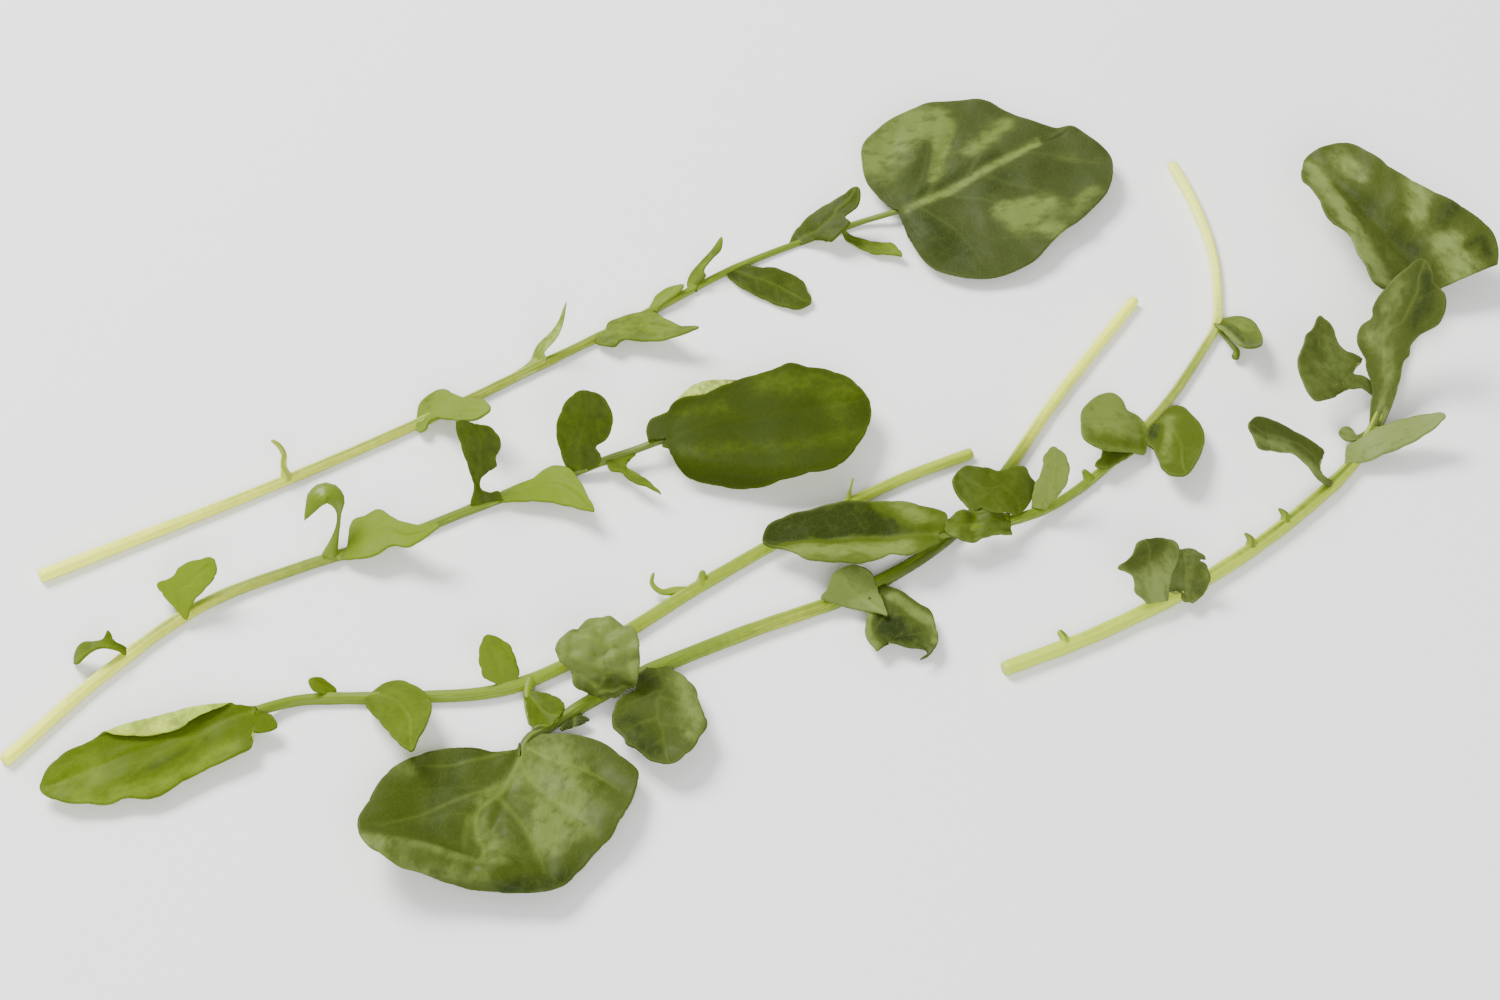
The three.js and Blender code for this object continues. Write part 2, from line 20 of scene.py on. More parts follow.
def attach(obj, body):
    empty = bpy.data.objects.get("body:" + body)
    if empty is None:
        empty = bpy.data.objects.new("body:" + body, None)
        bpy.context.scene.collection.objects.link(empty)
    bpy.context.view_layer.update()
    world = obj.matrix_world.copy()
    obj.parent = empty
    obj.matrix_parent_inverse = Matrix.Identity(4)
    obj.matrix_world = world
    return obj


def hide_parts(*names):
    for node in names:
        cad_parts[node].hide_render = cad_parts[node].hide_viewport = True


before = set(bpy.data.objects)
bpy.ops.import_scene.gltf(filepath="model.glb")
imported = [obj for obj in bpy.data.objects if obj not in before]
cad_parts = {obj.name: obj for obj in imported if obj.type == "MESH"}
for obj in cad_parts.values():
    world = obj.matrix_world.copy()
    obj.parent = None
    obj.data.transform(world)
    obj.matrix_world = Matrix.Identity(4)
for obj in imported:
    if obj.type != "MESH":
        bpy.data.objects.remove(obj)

LOG = logging.getLogger("winter_cress")
Pair = tuple[float, float]
Points = tuple[Pair, ...]
Array = np.ndarray

MILLIMETRE = 0.001
LAYOUT_CENTRE = (5.887, 3.651)
BODY = "root"

# how finely a blade is bent, and how far its slope is felt for
BEND_STEPS = 12
PROBE = 0.4
# the solids' stalks are eight-sided and lie on a flat
STALK_SIDES = 8
UNDERSIDE = math.cos(math.pi / STALK_SIDES)
BLADE_THICKNESS = 0.42
LOWEST_BLADE = 0.24
LOWEST_RIB = 0.3
TOWARD_VIEWER = (0.0, -0.661, 0.750)
# in metres, as it is used on finished places
MERGE = 1e-7
BLADE_MARKS = ("vein", "shade", "rim", "ahead", "right")
STALK_MARKS = ("green", "run", "turn")

CURVE_STEPS = 32
RIPPLE_HEIGHT = 1.6
FINE_RIPPLE = (0.15, 0.35, 7.0)

# stalks: the share looked along for a direction, the ribs round one, the channel's width as an
# angle, how blunt a rod's end is, and the inset and sink of a cut face
LOOK = 0.01
RIBS_ROUND = 7
GROOVE_WIDTH = 0.45
BLUNTNESS = 1.02
CUT_INSET = 0.12
CUT_SINK = 0.06
JOINT_SWELL = 0.1
JOINT_REACH = 1.9
KNOT_HEIGHT = 0.035
KNOT_SPACING = 4.0
STALK_ROUND = 28
STALK_STEP = 0.7

# blades: the share of a half over which it leaves its midrib, and the widths of veins, of the
# valleys that they lie in and of the paler rim
HINGE = 0.09
VEIN_WIDTH = 0.34
VALLEY_WIDTH = 1.5
TRACED_VALLEY_WIDTH = 1.6
RIM_WIDTH = 0.35

# teeth: how far the two margins' are shifted against each other, their power and depth, and the
# shares of a margin at its base and tip over which they come in
SCALLOP_SHIFT = 0.31
SCALLOP_POWER = 0.6
SCALLOP_DEPTH = 0.75
BASE_PLAIN = (0.04, 0.2)
TIP_PLAIN = (0.0, 0.06)

# side veins: their shift as a share of the gap to the next, for the left half and the right, how
# they bend forward and taper, and where and how strongly their forks part from them
VEIN_SHIFT = 0.25
SHIFT_SHARES = (0.6, -0.4)
VEIN_BEND = 0.07
VEIN_TAPER = (1.15, 0.65)
VEIN_ONSET = 0.05
VEIN_FADE = 0.55
TIP_FADE = 0.8
VALLEY_ONSET = 0.3
FORK_SPREAD = 0.5
FORK_START = 0.45
FORK_STRENGTH = 0.6
FORK_SHOWN = 0.5
TRACED_TAPER = 0.5
TRACED_FADE = 0.4
RIB_VALLEY = (2.2, 0.6)

# how far from its midrib, tip and root a blade's relief is calm, in millimetres
CALM_RIB = 1.6
CALM_RIB_SHARE = 0.25
CALM_TIP = 3.0
CALM_ROOT = 1.2

# the midrib under a terminal leaflet: its points, where its radius runs out of the stalk's, and
# its radius with what that loses to the tip
RIB_POINTS = 12
RIB_BLEND = (1.0, 6.0)
RIB_RADIUS = (0.36, 0.16)
SPUR_ROUND = 12
SPUR_ROWS = 24

# finishes: how fine the two nets of veinlets are, on coordinates in centimetres
NET = 8.5
FINE_NET = 19.0
PER_CENTIMETRE = (0.1, 0.1)
WHITE = (1.0, 1.0, 1.0, 1.0)
NOISE_MIDDLE = 0.5


class ToneAndShade(Enum):
    """How light a leaflet is beside its own leaf.

    Partly its own paler or darker tissue, and partly painted shade and sheen for how light falls
    on it.
    """

    DEEP = -0.5
    DARK = -0.25
    PLAIN = 0.0
    MIDDLING = 0.15
    LIGHT = 0.3
    PALE = 0.6


class Face(Enum):
    """The two faces of a blade, by their material index."""

    UPPER = 0
    UNDER = 1


# ---------------------------------------------------------------------------
# Lines and surfaces
# ---------------------------------------------------------------------------


def smooth_line(points: Sequence[Sequence[float]], per_span: int = CURVE_STEPS) -> Array:
    """A centripetal curve through points, as many short steps.

    Args:
        points: Places in two or three dimensions.
        per_span: Steps between two neighbouring points.

    Returns:
        The curve's points, one a row.
    """
    given = np.asarray(points, float)
    given = np.vstack([2 * given[0] - given[1], given, 2 * given[-1] - given[-2]])
    parts = []
    for index in range(1, len(given) - 2):
        a, b, c, d = given[index - 1 : index + 3]
        before, here, after = (
            max(float(np.linalg.norm(end - start)) ** 0.5, 1e-4)
            for start, end in ((a, b), (b, c), (c, d))
        )
        leave = ((b - a) / before - (c - a) / (before + here) + (c - b) / here) * here
        arrive = ((c - b) / here - (d - b) / (here + after) + (d - c) / after) * here
        t = np.linspace(0, 1, per_span, endpoint=False)[:, None]
        square = 3 * (c - b) - 2 * leave - arrive
        cube = 2 * (b - c) + leave + arrive
        parts.append(b + t * (leave + t * (square + t * cube)))
    parts.append(given[-2][None])
    return np.vstack(parts)


def lengths_along(line: Array) -> Array:
    """How far each point of a line lies along it."""
    steps = np.linalg.norm(np.diff(line, axis=0), axis=1)
    return np.concatenate([[0.0], np.cumsum(steps)])


def at_shares(line: Array, shares: Array) -> Array:
    """The points of a line at shares of its whole length.

    Args:
        line: The line's points.
        shares: Places on it from 0 to 1.

    Returns:
        The points, one a row.
    """
    run = lengths_along(line)
    places = np.asarray(shares, float) * run[-1]
    return np.stack([np.interp(places, run, line[:, axis]) for axis in range(line.shape[1])], -1)


def sample(values: Sequence[float], shares: Array) -> Array:
    """Evenly spaced values read at shares of their list, smoothly between them.

    Args:
        values: The values.
        shares: Where they are read, from 0 to 1.

    Returns:
        The values there.
    """
    known = np.asarray(values, float)
    place = np.clip(np.asarray(shares, float), 0, 1) * (len(known) - 1)
    index = np.minimum(place.astype(int), len(known) - 2)
    a, b = known[index], known[index + 1]
    before = known[np.maximum(index - 1, 0)]
    after = known[np.minimum(index + 2, len(known) - 1)]
    t = place - index
    leave, arrive = (b - before) / 2, (after - a) / 2
    square = 3 * (b - a) - 2 * leave - arrive
    cube = 2 * (a - b) + leave + arrive
    return a + t * (leave + t * (square + t * cube))


def ease(low: float, high: float, values: Array) -> Array:
    """A smooth step from 0 at low to 1 at high."""
    t = np.clip((np.asarray(values, float) - low) / (high - low), 0, 1)
    return t * t * (3 - 2 * t)


def ease_out(shares: Array, last: float) -> Array:
    """0 until the last stretch of a line, then evenly up to 1 at its end."""
    return np.clip((np.asarray(shares, float) - 1 + last) / last, 0, 1)


def unit(vectors: Array) -> Array:
    """Vectors made one long."""
    size = np.linalg.norm(vectors, axis=-1, keepdims=True)
    return vectors / np.maximum(size, 1e-9)


def ripple(places: Array, scale: float, seed: float) -> Array:
    """Smooth random heights between about -1 and 1 over flat places, the same in each run."""
    heights = [noise.noise(Vector((x / scale, y / scale, seed))) for x, y in places]
    return np.array(heights) * RIPPLE_HEIGHT


@dataclass(frozen=True)
class Hem:
    """The stretch of blade beyond a line, which turns over about that line.

    bow is how far the line bulges outward in its middle.
    """

    start: Pair
    end: Pair
    depth: float
    turn: float
    bow: float = 0.0

    def outward(self) -> Array:
        """The flat way from the line to the margin."""
        run = unit(np.array(self.end) - np.array(self.start))
        way = np.array([run[1], -run[0]])
        return way if way @ np.array(self.start) > 0 else -way

    def beyond(self, ahead: Array, right: Array) -> Array:
        """How far flat points lie beyond the line.

        Args:
            ahead: Each point's distance along the midrib.
            right: Its distance to the right of it.

        Returns:
            The distances, 0 on the near side.
        """
        start, run = np.array(self.start), np.array(self.end) - np.array(self.start)
        gone = np.stack([ahead - start[0], right - start[1]], -1)
        share = np.clip(gone @ run / (run @ run), 0, 1)
        return np.maximum(gone @ self.outward() - 4 * self.bow * share * (1 - share), 0)


@dataclass(frozen=True)
class Dent:
    """A rounded rise in a blade, or a hollow where its lift is below 0."""

    at: Pair
    reach: Pair
    lift: float


@dataclass(frozen=True)
class Lie:
    """How a flat leaflet lies in space, its angles in degrees.

    heading, pitch and droop are its midrib's direction in plan, its rise and how much of that it
    loses to the tip. rise and cup are how the left and right halves leave the midrib and curl on.
    heel is the pitch of what lies behind the root, where that isn't the midrib's own.
    """

    heading: float
    pitch: float
    droop: float = 0.0
    rise: Pair = (0.0, 0.0)
    cup: Pair = (0.0, 0.0)
    hems: tuple[Hem, ...] = ()
    dents: tuple[Dent, ...] = ()
    heel: float | None = None

    def drape(self, root: Array, length: float, width: float, ahead: Array, right: Array) -> Array:
        """Places flat points of a leaflet, before its hems are turned.

        Args:
            root: The top of the leaflet's own stalk.
            length: The leaflet's length.
            width: Its widest half.
            ahead: Each point's distance along the midrib.
            right: Each point's distance to the right of it.

        Returns:
            The points in space.
        """
        plan = math.radians(self.heading)
        step = ahead / BEND_STEPS
        point = np.zeros(ahead.shape + (3,)) + root
        for index in range(BEND_STEPS):
            gone = (index + 0.5) * step
            pitch = self.pitch - self.droop * np.maximum(gone / length, 0)
            if self.heel is not None:
                pitch = pitch + (self.heel - self.pitch) * ease(0.0, 1.0, -gone)
            pitch = np.radians(pitch)
            level = np.cos(pitch)
            tangent = np.stack([level * math.cos(plan), level * math.sin(plan), np.sin(pitch)], -1)
            point = point + tangent * step[..., None]
        side = np.broadcast_to(np.array([math.sin(plan), -math.cos(plan), 0.0]), tangent.shape)
        up = np.cross(side, tangent)
        hand = (right >= 0).astype(int)
        rise = np.radians(np.asarray(self.rise))[hand]
        cup = np.radians(np.asarray(self.cup))[hand]
        step = np.abs(right) / BEND_STEPS
        hinge = HINGE * width
        for index in range(BEND_STEPS):
            out = (index + 0.5) * step
            angle = rise * np.clip(out / hinge, 0, 1) + cup * out / width
            point = point + side * (np.sign(right) * np.cos(angle) * step)[..., None]
            point = point + up * (np.sin(angle) * step)[..., None]
        for dent in self.dents:
            (start, aside), (reach, breadth) = dent.at, dent.reach
            gone = ((ahead - start) / reach) ** 2 + ((right - aside) / breadth) ** 2
            point = point + up * (dent.lift * np.exp(-gone))[..., None]
        return point

    def place(self, root: Array, length: float, width: float, ahead: Array, right: Array) -> Array:
        """The same as drape, with the blade beyond each hem's line turned over about it.

        Args:
            root: The top of the leaflet's own stalk.
            length: The leaflet's length.
            width: Its widest half.
            ahead: Each point's distance along the midrib.
            right: Each point's distance to the right of it.

        Returns:
            The points in space.
        """
        if not self.hems:
            return self.drape(root, length, width, ahead, right)
        spans = [hem.beyond(ahead, right) for hem in self.hems]
        foot = ahead, right
        for hem, span in zip(self.hems, spans):
            way = hem.outward()
            foot = foot[0] - way[0] * span, foot[1] - way[1] * span
        point = self.drape(root, length, width, *foot)
        onward = point - self.drape(root, length, width, foot[0] - PROBE, foot[1])
        across = point - self.drape(root, length, width, foot[0], foot[1] - PROBE)
        up = unit(np.cross(across, onward))
        for hem, span in zip(self.hems, spans):
            way = hem.outward()
            out = unit(onward * way[0] + across * way[1])
            step = span / BEND_STEPS
            for index in range(BEND_STEPS):
                angle = math.radians(hem.turn) * np.minimum((index + 0.5) * step / hem.depth, 1)
                point = point + out * (np.cos(angle) * step)[..., None]
                point = point + up * (np.sin(angle) * step)[..., None]
        return point


def from_line(ahead: Array, right: Array, points: Points) -> tuple[Array, Array]:
    """Flat distances from a smooth line through points.

    Args:
        ahead: Each place's distance along the midrib.
        right: Its distance to the right of it.
        points: The line's points.

    Returns:
        Each place's distance from the line, and the share of the line where it is nearest.
    """
    line = smooth_line(points, 12)
    gaps = np.hypot(ahead[:, None] - line[:, 0], right[:, None] - line[:, 1])
    nearest = np.argmin(gaps, axis=1)
    return gaps[np.arange(len(ahead)), nearest], nearest / (len(line) - 1)


# ---------------------------------------------------------------------------
# Meshes
# ---------------------------------------------------------------------------


def to_frame(points: Array) -> Array:
    """Layout millimetres to the frame's metres."""
    return (points - np.array([*LAYOUT_CENTRE, 0.0])) * MILLIMETRE


def grid_sheet(mesh: bmesh.types.BMesh, columns: int, rows: int) -> tuple[list[Any], Array, Array]:
    """A flat grid to be shaped.

    Args:
        mesh: The mesh it is added to.
        columns: Faces across.
        rows: Faces along.

    Returns:
        Its vertices, and where each lies across (-1 to 1) and along (0 to 1).
    """
    made = bmesh.ops.create_grid(mesh, x_segments=columns, y_segments=rows, size=1.0)["verts"]
    across = np.array([vert.co.x for vert in made])
    along = np.array([vert.co.y for vert in made]) * 0.5 + 0.5
    return made, across, along


def write_places(verts: Sequence[Any], points: Array) -> None:
    """Moves vertices to layout points."""
    for vert, point in zip(verts, to_frame(points)):
        vert.co = point


def add_rod(
    mesh: bmesh.types.BMesh,
    line: Array,
    radius_at: Callable[[Array], Array],
    sides: int,
    rows: int,
    green_at: Callable[[Array], Array],
    groove: float = 0.0,
    ribs: float = 0.0,
    squash_at: Callable[[Array], Array] | None = None,
) -> None:
    """Adds a closed rod along a line, with its colour and its own flat coordinates.

    Args:
        mesh: The mesh it is added to, with the values of STALK_MARKS.
        line: The rod's centre line.
        radius_at: Its radius at shares of its length.
        sides: Faces round it.
        rows: Faces along it.
        green_at: How green it is at shares of its length.
        groove: Depth of the channel along its top, as a share of its radius.
        ribs: Height of its fine ribs, as a share of its radius.
        squash_at: How high its section is beside its width, at shares of its length.
    """
    verts, across, along = grid_sheet(mesh, sides, rows)
    turn = (across + 1) * math.pi
    centre = at_shares(line, along)
    length = lengths_along(line)[-1]
    further, nearer = np.minimum(along + LOOK, 1), np.maximum(along - LOOK, 0)
    tangent = unit(at_shares(line, further) - at_shares(line, nearer))
    side = unit(np.cross(tangent, np.array([0.0, 0.0, 1.0])))
    top = np.cross(side, tangent)
    radius = radius_at(along)
    from_top = np.angle(np.exp(1j * (turn - math.pi / 2)))
    channel = np.exp(-((from_top / GROOVE_WIDTH) ** 2))
    section = 1 + ribs * np.cos(RIBS_ROUND * turn) - groove * channel
    high = np.ones_like(along) if squash_at is None else squash_at(along)
    end_share = float(radius[np.argmax(along)]) / length
    radius = radius * np.sqrt(BLUNTNESS - ease_out(along, end_share) ** 2)
    points = centre + side * (np.cos(turn) * radius * section)[:, None]
    points = points + top * (np.sin(turn) * radius * section * high)[:, None]
    points[:, 2] = np.maximum(points[:, 2], 0)
    write_places(verts, points)
    marks = {"green": green_at(along), "run": along * length, "turn": np.abs(from_top)}
    write_marks(mesh, verts, marks)
    bmesh.ops.remove_doubles(mesh, verts=verts, dist=MERGE)
    open_edges = [edge for edge in mesh.edges if edge.is_boundary]
    caps = bmesh.ops.holes_fill(mesh, edges=open_edges, sides=0)["faces"]
    bmesh.ops.inset_region(
        mesh, faces=caps, thickness=CUT_INSET * MILLIMETRE, depth=-CUT_SINK * MILLIMETRE
    )


def write_marks(mesh: bmesh.types.BMesh, verts: Sequence[Any], marks: dict[str, Array]) -> None:
    """Writes named values to vertices, one for each.

    Args:
        mesh: The mesh, with layers of those names.
        verts: Its vertices.
        marks: Each name with its values.
    """
    for name, values in marks.items():
        layer = mesh.verts.layers.float[name]
        for vert, value in zip(verts, values):
            vert[layer] = float(value)


def new_mesh(*layers: str) -> bmesh.types.BMesh:
    """An empty mesh that keeps named values on its points.

    Args:
        layers: The values' names.

    Returns:
        The mesh.
    """
    mesh = bmesh.new()
    for name in layers:
        mesh.verts.layers.float.new(name)
    return mesh


def finished(
    mesh: bmesh.types.BMesh, name: str, smooth: bool = True, closed: bool = True
) -> bpy.types.Object:
    """Writes a shaped mesh to a new object that stands at the origin.

    Args:
        mesh: The mesh, which is freed.
        name: The object's name.
        smooth: Whether its faces are shaded smooth.
        closed: Whether it has an inside, which its faces are then turned away from.

    Returns:
        The object.
    """
    if closed:
        bmesh.ops.recalc_face_normals(mesh, faces=mesh.faces)
    for face in mesh.faces:
        face.smooth = smooth
    data = bpy.data.meshes.new(name)
    mesh.to_mesh(data)
    mesh.free()
    thing = bpy.data.objects.new(name, data)
    bpy.context.scene.collection.objects.link(thing)
    return thing


# ---------------------------------------------------------------------------
# Shading
# ---------------------------------------------------------------------------


class Socket:
    """An output socket that adds, subtracts and multiplies with numbers and other sockets."""

    def __init__(self, maker: "Shader", output: bpy.types.NodeSocket) -> None:
        """Keeps the socket and the maker of its tree."""
        self.maker = maker
        self.output = output

    def _math(self, operation: str, first: Any, second: Any = None, clamp: bool = False) -> "Socket":
        """A Math node on one or two values."""
        values = {0: first} if second is None else {0: first, 1: second}
        return self.maker.node("ShaderNodeMath", {"operation": operation, "use_clamp": clamp}, values)

    def __add__(self, other: Any) -> "Socket":
        """Self plus other."""
        return self._math("ADD", self, other)

    __radd__ = __add__

    def __sub__(self, other: Any) -> "Socket":
        """Self minus other."""
        return self._math("SUBTRACT", self, other)

    def __rsub__(self, other: Any) -> "Socket":
        """Other minus self."""
        return self._math("SUBTRACT", other, self)

    def __mul__(self, other: Any) -> "Socket":
        """Self times other."""
        return self._math("MULTIPLY", self, other)

    __rmul__ = __mul__

    def clamped(self) -> "Socket":
        """Self held between 0 and 1."""
        return self._math("ADD", self, 0.0, clamp=True)

    def between(self, low: float, high: float) -> "Socket":
        """0 below low, 1 above high and a smooth step between them."""
        return self.maker.node(
            "ShaderNodeMapRange",
            {"interpolation_type": "SMOOTHSTEP", "clamp": True},
            {"Value": self, "From Min": low, "From Max": high},
        )


@dataclass(frozen=True)
class Grain:
    """A soft noise: how fine, how detailed and how rough it is, and how its axes are scaled."""

    scale: float
    detail: float = 3.0
    rough: float = 0.6
    stretch: tuple[float, float, float] | None = None


class Shader:
    """Builds one material's nodes."""

    def __init__(self, name: str) -> None:
        """Starts a material that holds a Principled shader only.

        Args:
            name: The material's name.
        """
        self.material = bpy.data.materials.new(name)
        self.material.use_nodes = True
        self.tree = self.material.node_tree
        self.tree.nodes.clear()
        self.principled = self.tree.nodes.new("ShaderNodeBsdfPrincipled")
        output = self.tree.nodes.new("ShaderNodeOutputMaterial")
        self.tree.links.new(self.principled.outputs["BSDF"], output.inputs["Surface"])

    def node(
        self, kind: str, settings: dict[str, Any], values: dict[Any, Any], output: str | int = 0
    ) -> Socket:
        """Adds a node.

        Args:
            kind: The node's type.
            settings: Its own settings, set first.
            values: Numbers, colours or Sockets for its inputs, by name or number.
            output: The output that is wanted.

        Returns:
            That output.
        """
        made = self.tree.nodes.new(kind)
        for key, value in settings.items():
            setattr(made, key, value)
        for key, value in values.items():
            if isinstance(value, Socket):
                self.tree.links.new(value.output, made.inputs[key])
            else:
                made.inputs[key].default_value = value
        return Socket(self, made.outputs[output])

    def attribute(self, name: str) -> Socket:
        """A value kept on the piece's own points."""
        return self.node("ShaderNodeAttribute", {"attribute_name": name}, {}, "Fac")

    def flat_place(self) -> Socket:
        """The piece's own flat coordinates, in centimetres."""
        return self.node("ShaderNodeUVMap", {"uv_map": "flat"}, {}, "UV")

    def cloud(self, place: Socket, grain: Grain) -> Socket:
        """Soft noise between about -0.2 and 0.2.

        Args:
            place: Where it is read.
            grain: What it is like.

        Returns:
            The noise.
        """
        if grain.stretch:
            scaled = {0: place, 1: grain.stretch}
            place = self.node("ShaderNodeVectorMath", {"operation": "MULTIPLY"}, scaled)
        made = self.node(
            "ShaderNodeTexNoise",
            {"noise_dimensions": "3D"},
            {"Vector": place, "Scale": grain.scale, "Detail": grain.detail, "Roughness": grain.rough},
            "Fac",
        )
        return made - NOISE_MIDDLE

    def net(self, place: Socket, scale: float) -> Socket:
        """How far a place is from the nearest wall of irregular cells."""
        return self.node(
            "ShaderNodeTexVoronoi",
            {"feature": "DISTANCE_TO_EDGE"},
            {"Vector": place, "Scale": scale},
            "Distance",
        )

    def mixed(self, share: Any, first: Any, second: Any) -> Socket:
        """A colour between two."""
        return self.node(
            "ShaderNodeMix",
            {"data_type": "RGBA", "clamp_factor": True},
            {0: share, 6: first, 7: second},
            2,
        )

    def set(self, **sockets: Any) -> None:
        """Sets or links the Principled shader's sockets, with underscores for spaces.

        Args:
            sockets: Each socket's number, colour or Socket.
        """
        for key, value in sockets.items():
            socket = self.principled.inputs[key.replace("_", " ")]
            if isinstance(value, Socket):
                self.tree.links.new(value.output, socket)
            else:
                socket.default_value = value

    def bump(self, height: Socket, strength: float, distance: float) -> None:
        """Feeds a fine relief to the shader's normal.

        Args:
            height: The relief.
            strength: How much of it shows.
            distance: Its depth in metres.
        """
        self.set(
            Normal=self.node(
                "ShaderNodeBump", {}, {"Height": height, "Strength": strength, "Distance": distance}
            )
        )


Colour = tuple[float, float, float]

CLOUDS = Grain(1.3, 2.0, 0.5)
MOTTLE = Grain(9.0)
FLECKS = Grain(1.0, stretch=(3.2, 5.5, 1.0))
UNDER_CLOUDS = Grain(2.0, rough=0.55)
UNDER_MOTTLE = Grain(11.0)
STREAKS = Grain(3.0, stretch=(0.35, 5.0, 1.0))
THREADS = Grain(3.0, 2.0, 0.5, (0.6, 16.0, 1.0))
STALK_MOTTLE = Grain(8.0)


def paint(colour: Colour) -> tuple[float, float, float, float]:
    """A linear colour for a socket."""
    return (colour[0], colour[1], colour[2], 1.0)


@dataclass(frozen=True)
class BladeFinish:
    """Waxy green blade tissue with its net of veins, for one leaf.

    deep, body and light are its greens, from painted shade to painted sheen: the shade value on its
    points, which is painted light and shade, and soft random clouds of its own tone choose between
    them. veining is how far veins show in the colour, blotch how cloudy it is, broken how its
    painted light and shade strokes break up, gloss its roughness and wet how much it mirrors.
    """

    name: str
    deep: Colour
    body: Colour
    light: Colour
    vein: Colour
    under: Colour
    veining: float = 0.3
    blotch: float = 0.45
    broken: float = 2.6
    gloss: float = 0.55
    wet: float = 0.09

    def upper(self) -> bpy.types.Material:
        """The upper face: deep and light greens in soft clouds, pale veins and a fine net.

        The greens also follow its painted light and shade.

        Returns:
            The material.
        """
        shader = Shader(f"{self.name}_upper")
        place = shader.flat_place()
        shade = shader.attribute("shade")
        vein = shader.attribute("vein")
        rim = shader.attribute("rim")
        clouds = shader.cloud(place, CLOUDS)
        mottle = shader.cloud(place, MOTTLE)
        flecks = shader.cloud(place, FLECKS)
        # painted light and shade: the shade value turns the green toward the deep shaded green and the
        # pale sheen
        tone = shade * (flecks * self.broken + 1) + clouds * self.blotch + mottle * 0.2 + 0.5
        colour = shader.mixed(tone.between(-0.1, 0.5), paint(self.deep), paint(self.body))
        colour = shader.mixed(tone.between(0.5, 1.1), colour, paint(self.light))
        cells = shader.net(place, NET)
        finer = shader.net(place, FINE_NET)
        walls = 1 - cells.between(0.0, 0.07)
        lace = 1 - finer.between(0.0, 0.10)
        colour = shader.mixed(walls * 0.06 + lace * 0.03, colour, paint(self.vein))
        colour = shader.mixed((vein * self.veining).clamped(), colour, paint(self.vein))
        colour = shader.mixed(rim * 0.22, colour, paint(self.light))
        rough = self.gloss + mottle * 0.14 - vein * 0.05 + clouds * 0.10
        shader.set(Base_Color=colour, Roughness=rough.clamped(), Specular_IOR_Level=self.wet)
        shader.set(Coat_Weight=0.02, Coat_Roughness=0.25)
        height = mottle * 0.8 - walls * 0.5 - lace * 0.25
        shader.bump(height, strength=0.35, distance=0.0001)
        return shader.material

    def underside(self) -> bpy.types.Material:
        """The under face: paler and duller, with the net standing proud.

        Returns:
            The material.
        """
        shader = Shader(f"{self.name}_under")
        place = shader.flat_place()
        vein = shader.attribute("vein")
        clouds = shader.cloud(place, UNDER_CLOUDS)
        mottle = shader.cloud(place, UNDER_MOTTLE)
        cells = shader.net(place, NET)
        walls = 1 - cells.between(0.0, 0.08)
        tone = clouds * 1.6 + mottle * 0.7 + 0.5
        colour = shader.mixed(tone.between(0.1, 0.9), paint(self.under), paint(self.vein))
        colour = shader.mixed(vein * 0.6 + walls * 0.25, colour, paint(self.vein))
        shader.set(Base_Color=colour, Roughness=(mottle * 0.15 + 0.55).clamped())
        shader.set(Specular_IOR_Level=0.2)
        shader.bump(mottle * 0.7 + walls * 0.6, strength=0.5, distance=0.00012)
        return shader.material

    def dress(self, thing: bpy.types.Object) -> None:
        """Gives a blade its two faces."""
        for face, make in (("upper", self.upper), ("under", self.underside)):
            thing.data.materials.append(self.made(face) or make())

    def made(self, face: str) -> bpy.types.Material | None:
        """The material of a face, if it has been made."""
        return bpy.data.materials.get(f"{self.name}_{face}")


@dataclass(frozen=True)
class StalkFinish:
    """Juicy, ribbed stalk tissue that runs from cream at the cut to green at the leaflets.

    grooved is how much darker the channel on its upper side is, and dark is its deepest green, which
    is also painted along its underside as shade.
    """

    name: str
    cream: Colour
    green: Colour
    dark: Colour
    grooved: float = 0.65

    def material(self) -> bpy.types.Material:
        """Long streaks of cream and green, lighter along the ribs, with painted shade on its underside.

        Returns:
            The material, made once.
        """
        known = bpy.data.materials.get(self.name)
        if known:
            return known
        shader = Shader(self.name)
        place = shader.flat_place()
        green = shader.attribute("green")
        streaks = shader.cloud(place, STREAKS)
        threads = shader.cloud(place, THREADS)
        mottle = shader.cloud(place, STALK_MOTTLE)
        tone = green + streaks * 0.45 + mottle * 0.25
        colour = shader.mixed(tone.between(-0.05, 1.05), paint(self.cream), paint(self.green))
        colour = shader.mixed(tone.between(1.0, 2.0), colour, paint(self.dark))
        # painted shade: the lower side of the stalk is darkened toward its deepest green
        below = shader.attribute("turn").between(1.2, 2.9)
        colour = shader.mixed(below * 0.3, colour, paint(self.dark))
        groove = (1 - shader.attribute("turn").between(0.15, 0.55)) * tone.between(0.1, 0.6)
        colour = shader.mixed(groove * self.grooved, colour, paint(self.green))
        colour = shader.mixed((streaks + threads).between(0.08, 0.42) * 0.3, colour, paint(self.cream))
        rough = 0.42 + threads * 0.25 + mottle * 0.2
        shader.set(Base_Color=colour, Roughness=rough.clamped(), Specular_IOR_Level=0.22)
        shader.set(Coat_Weight=0.04, Coat_Roughness=0.25)
        relief = streaks * 0.6 + threads * 0.7 + mottle * 0.3
        shader.bump(relief, strength=0.5, distance=0.00015)
        return shader.material

    def dress(self, thing: bpy.types.Object) -> None:
        """Gives a stalk its one material."""
        thing.data.materials.append(self.material())


# ---------------------------------------------------------------------------
# The leaf's pieces
# ---------------------------------------------------------------------------


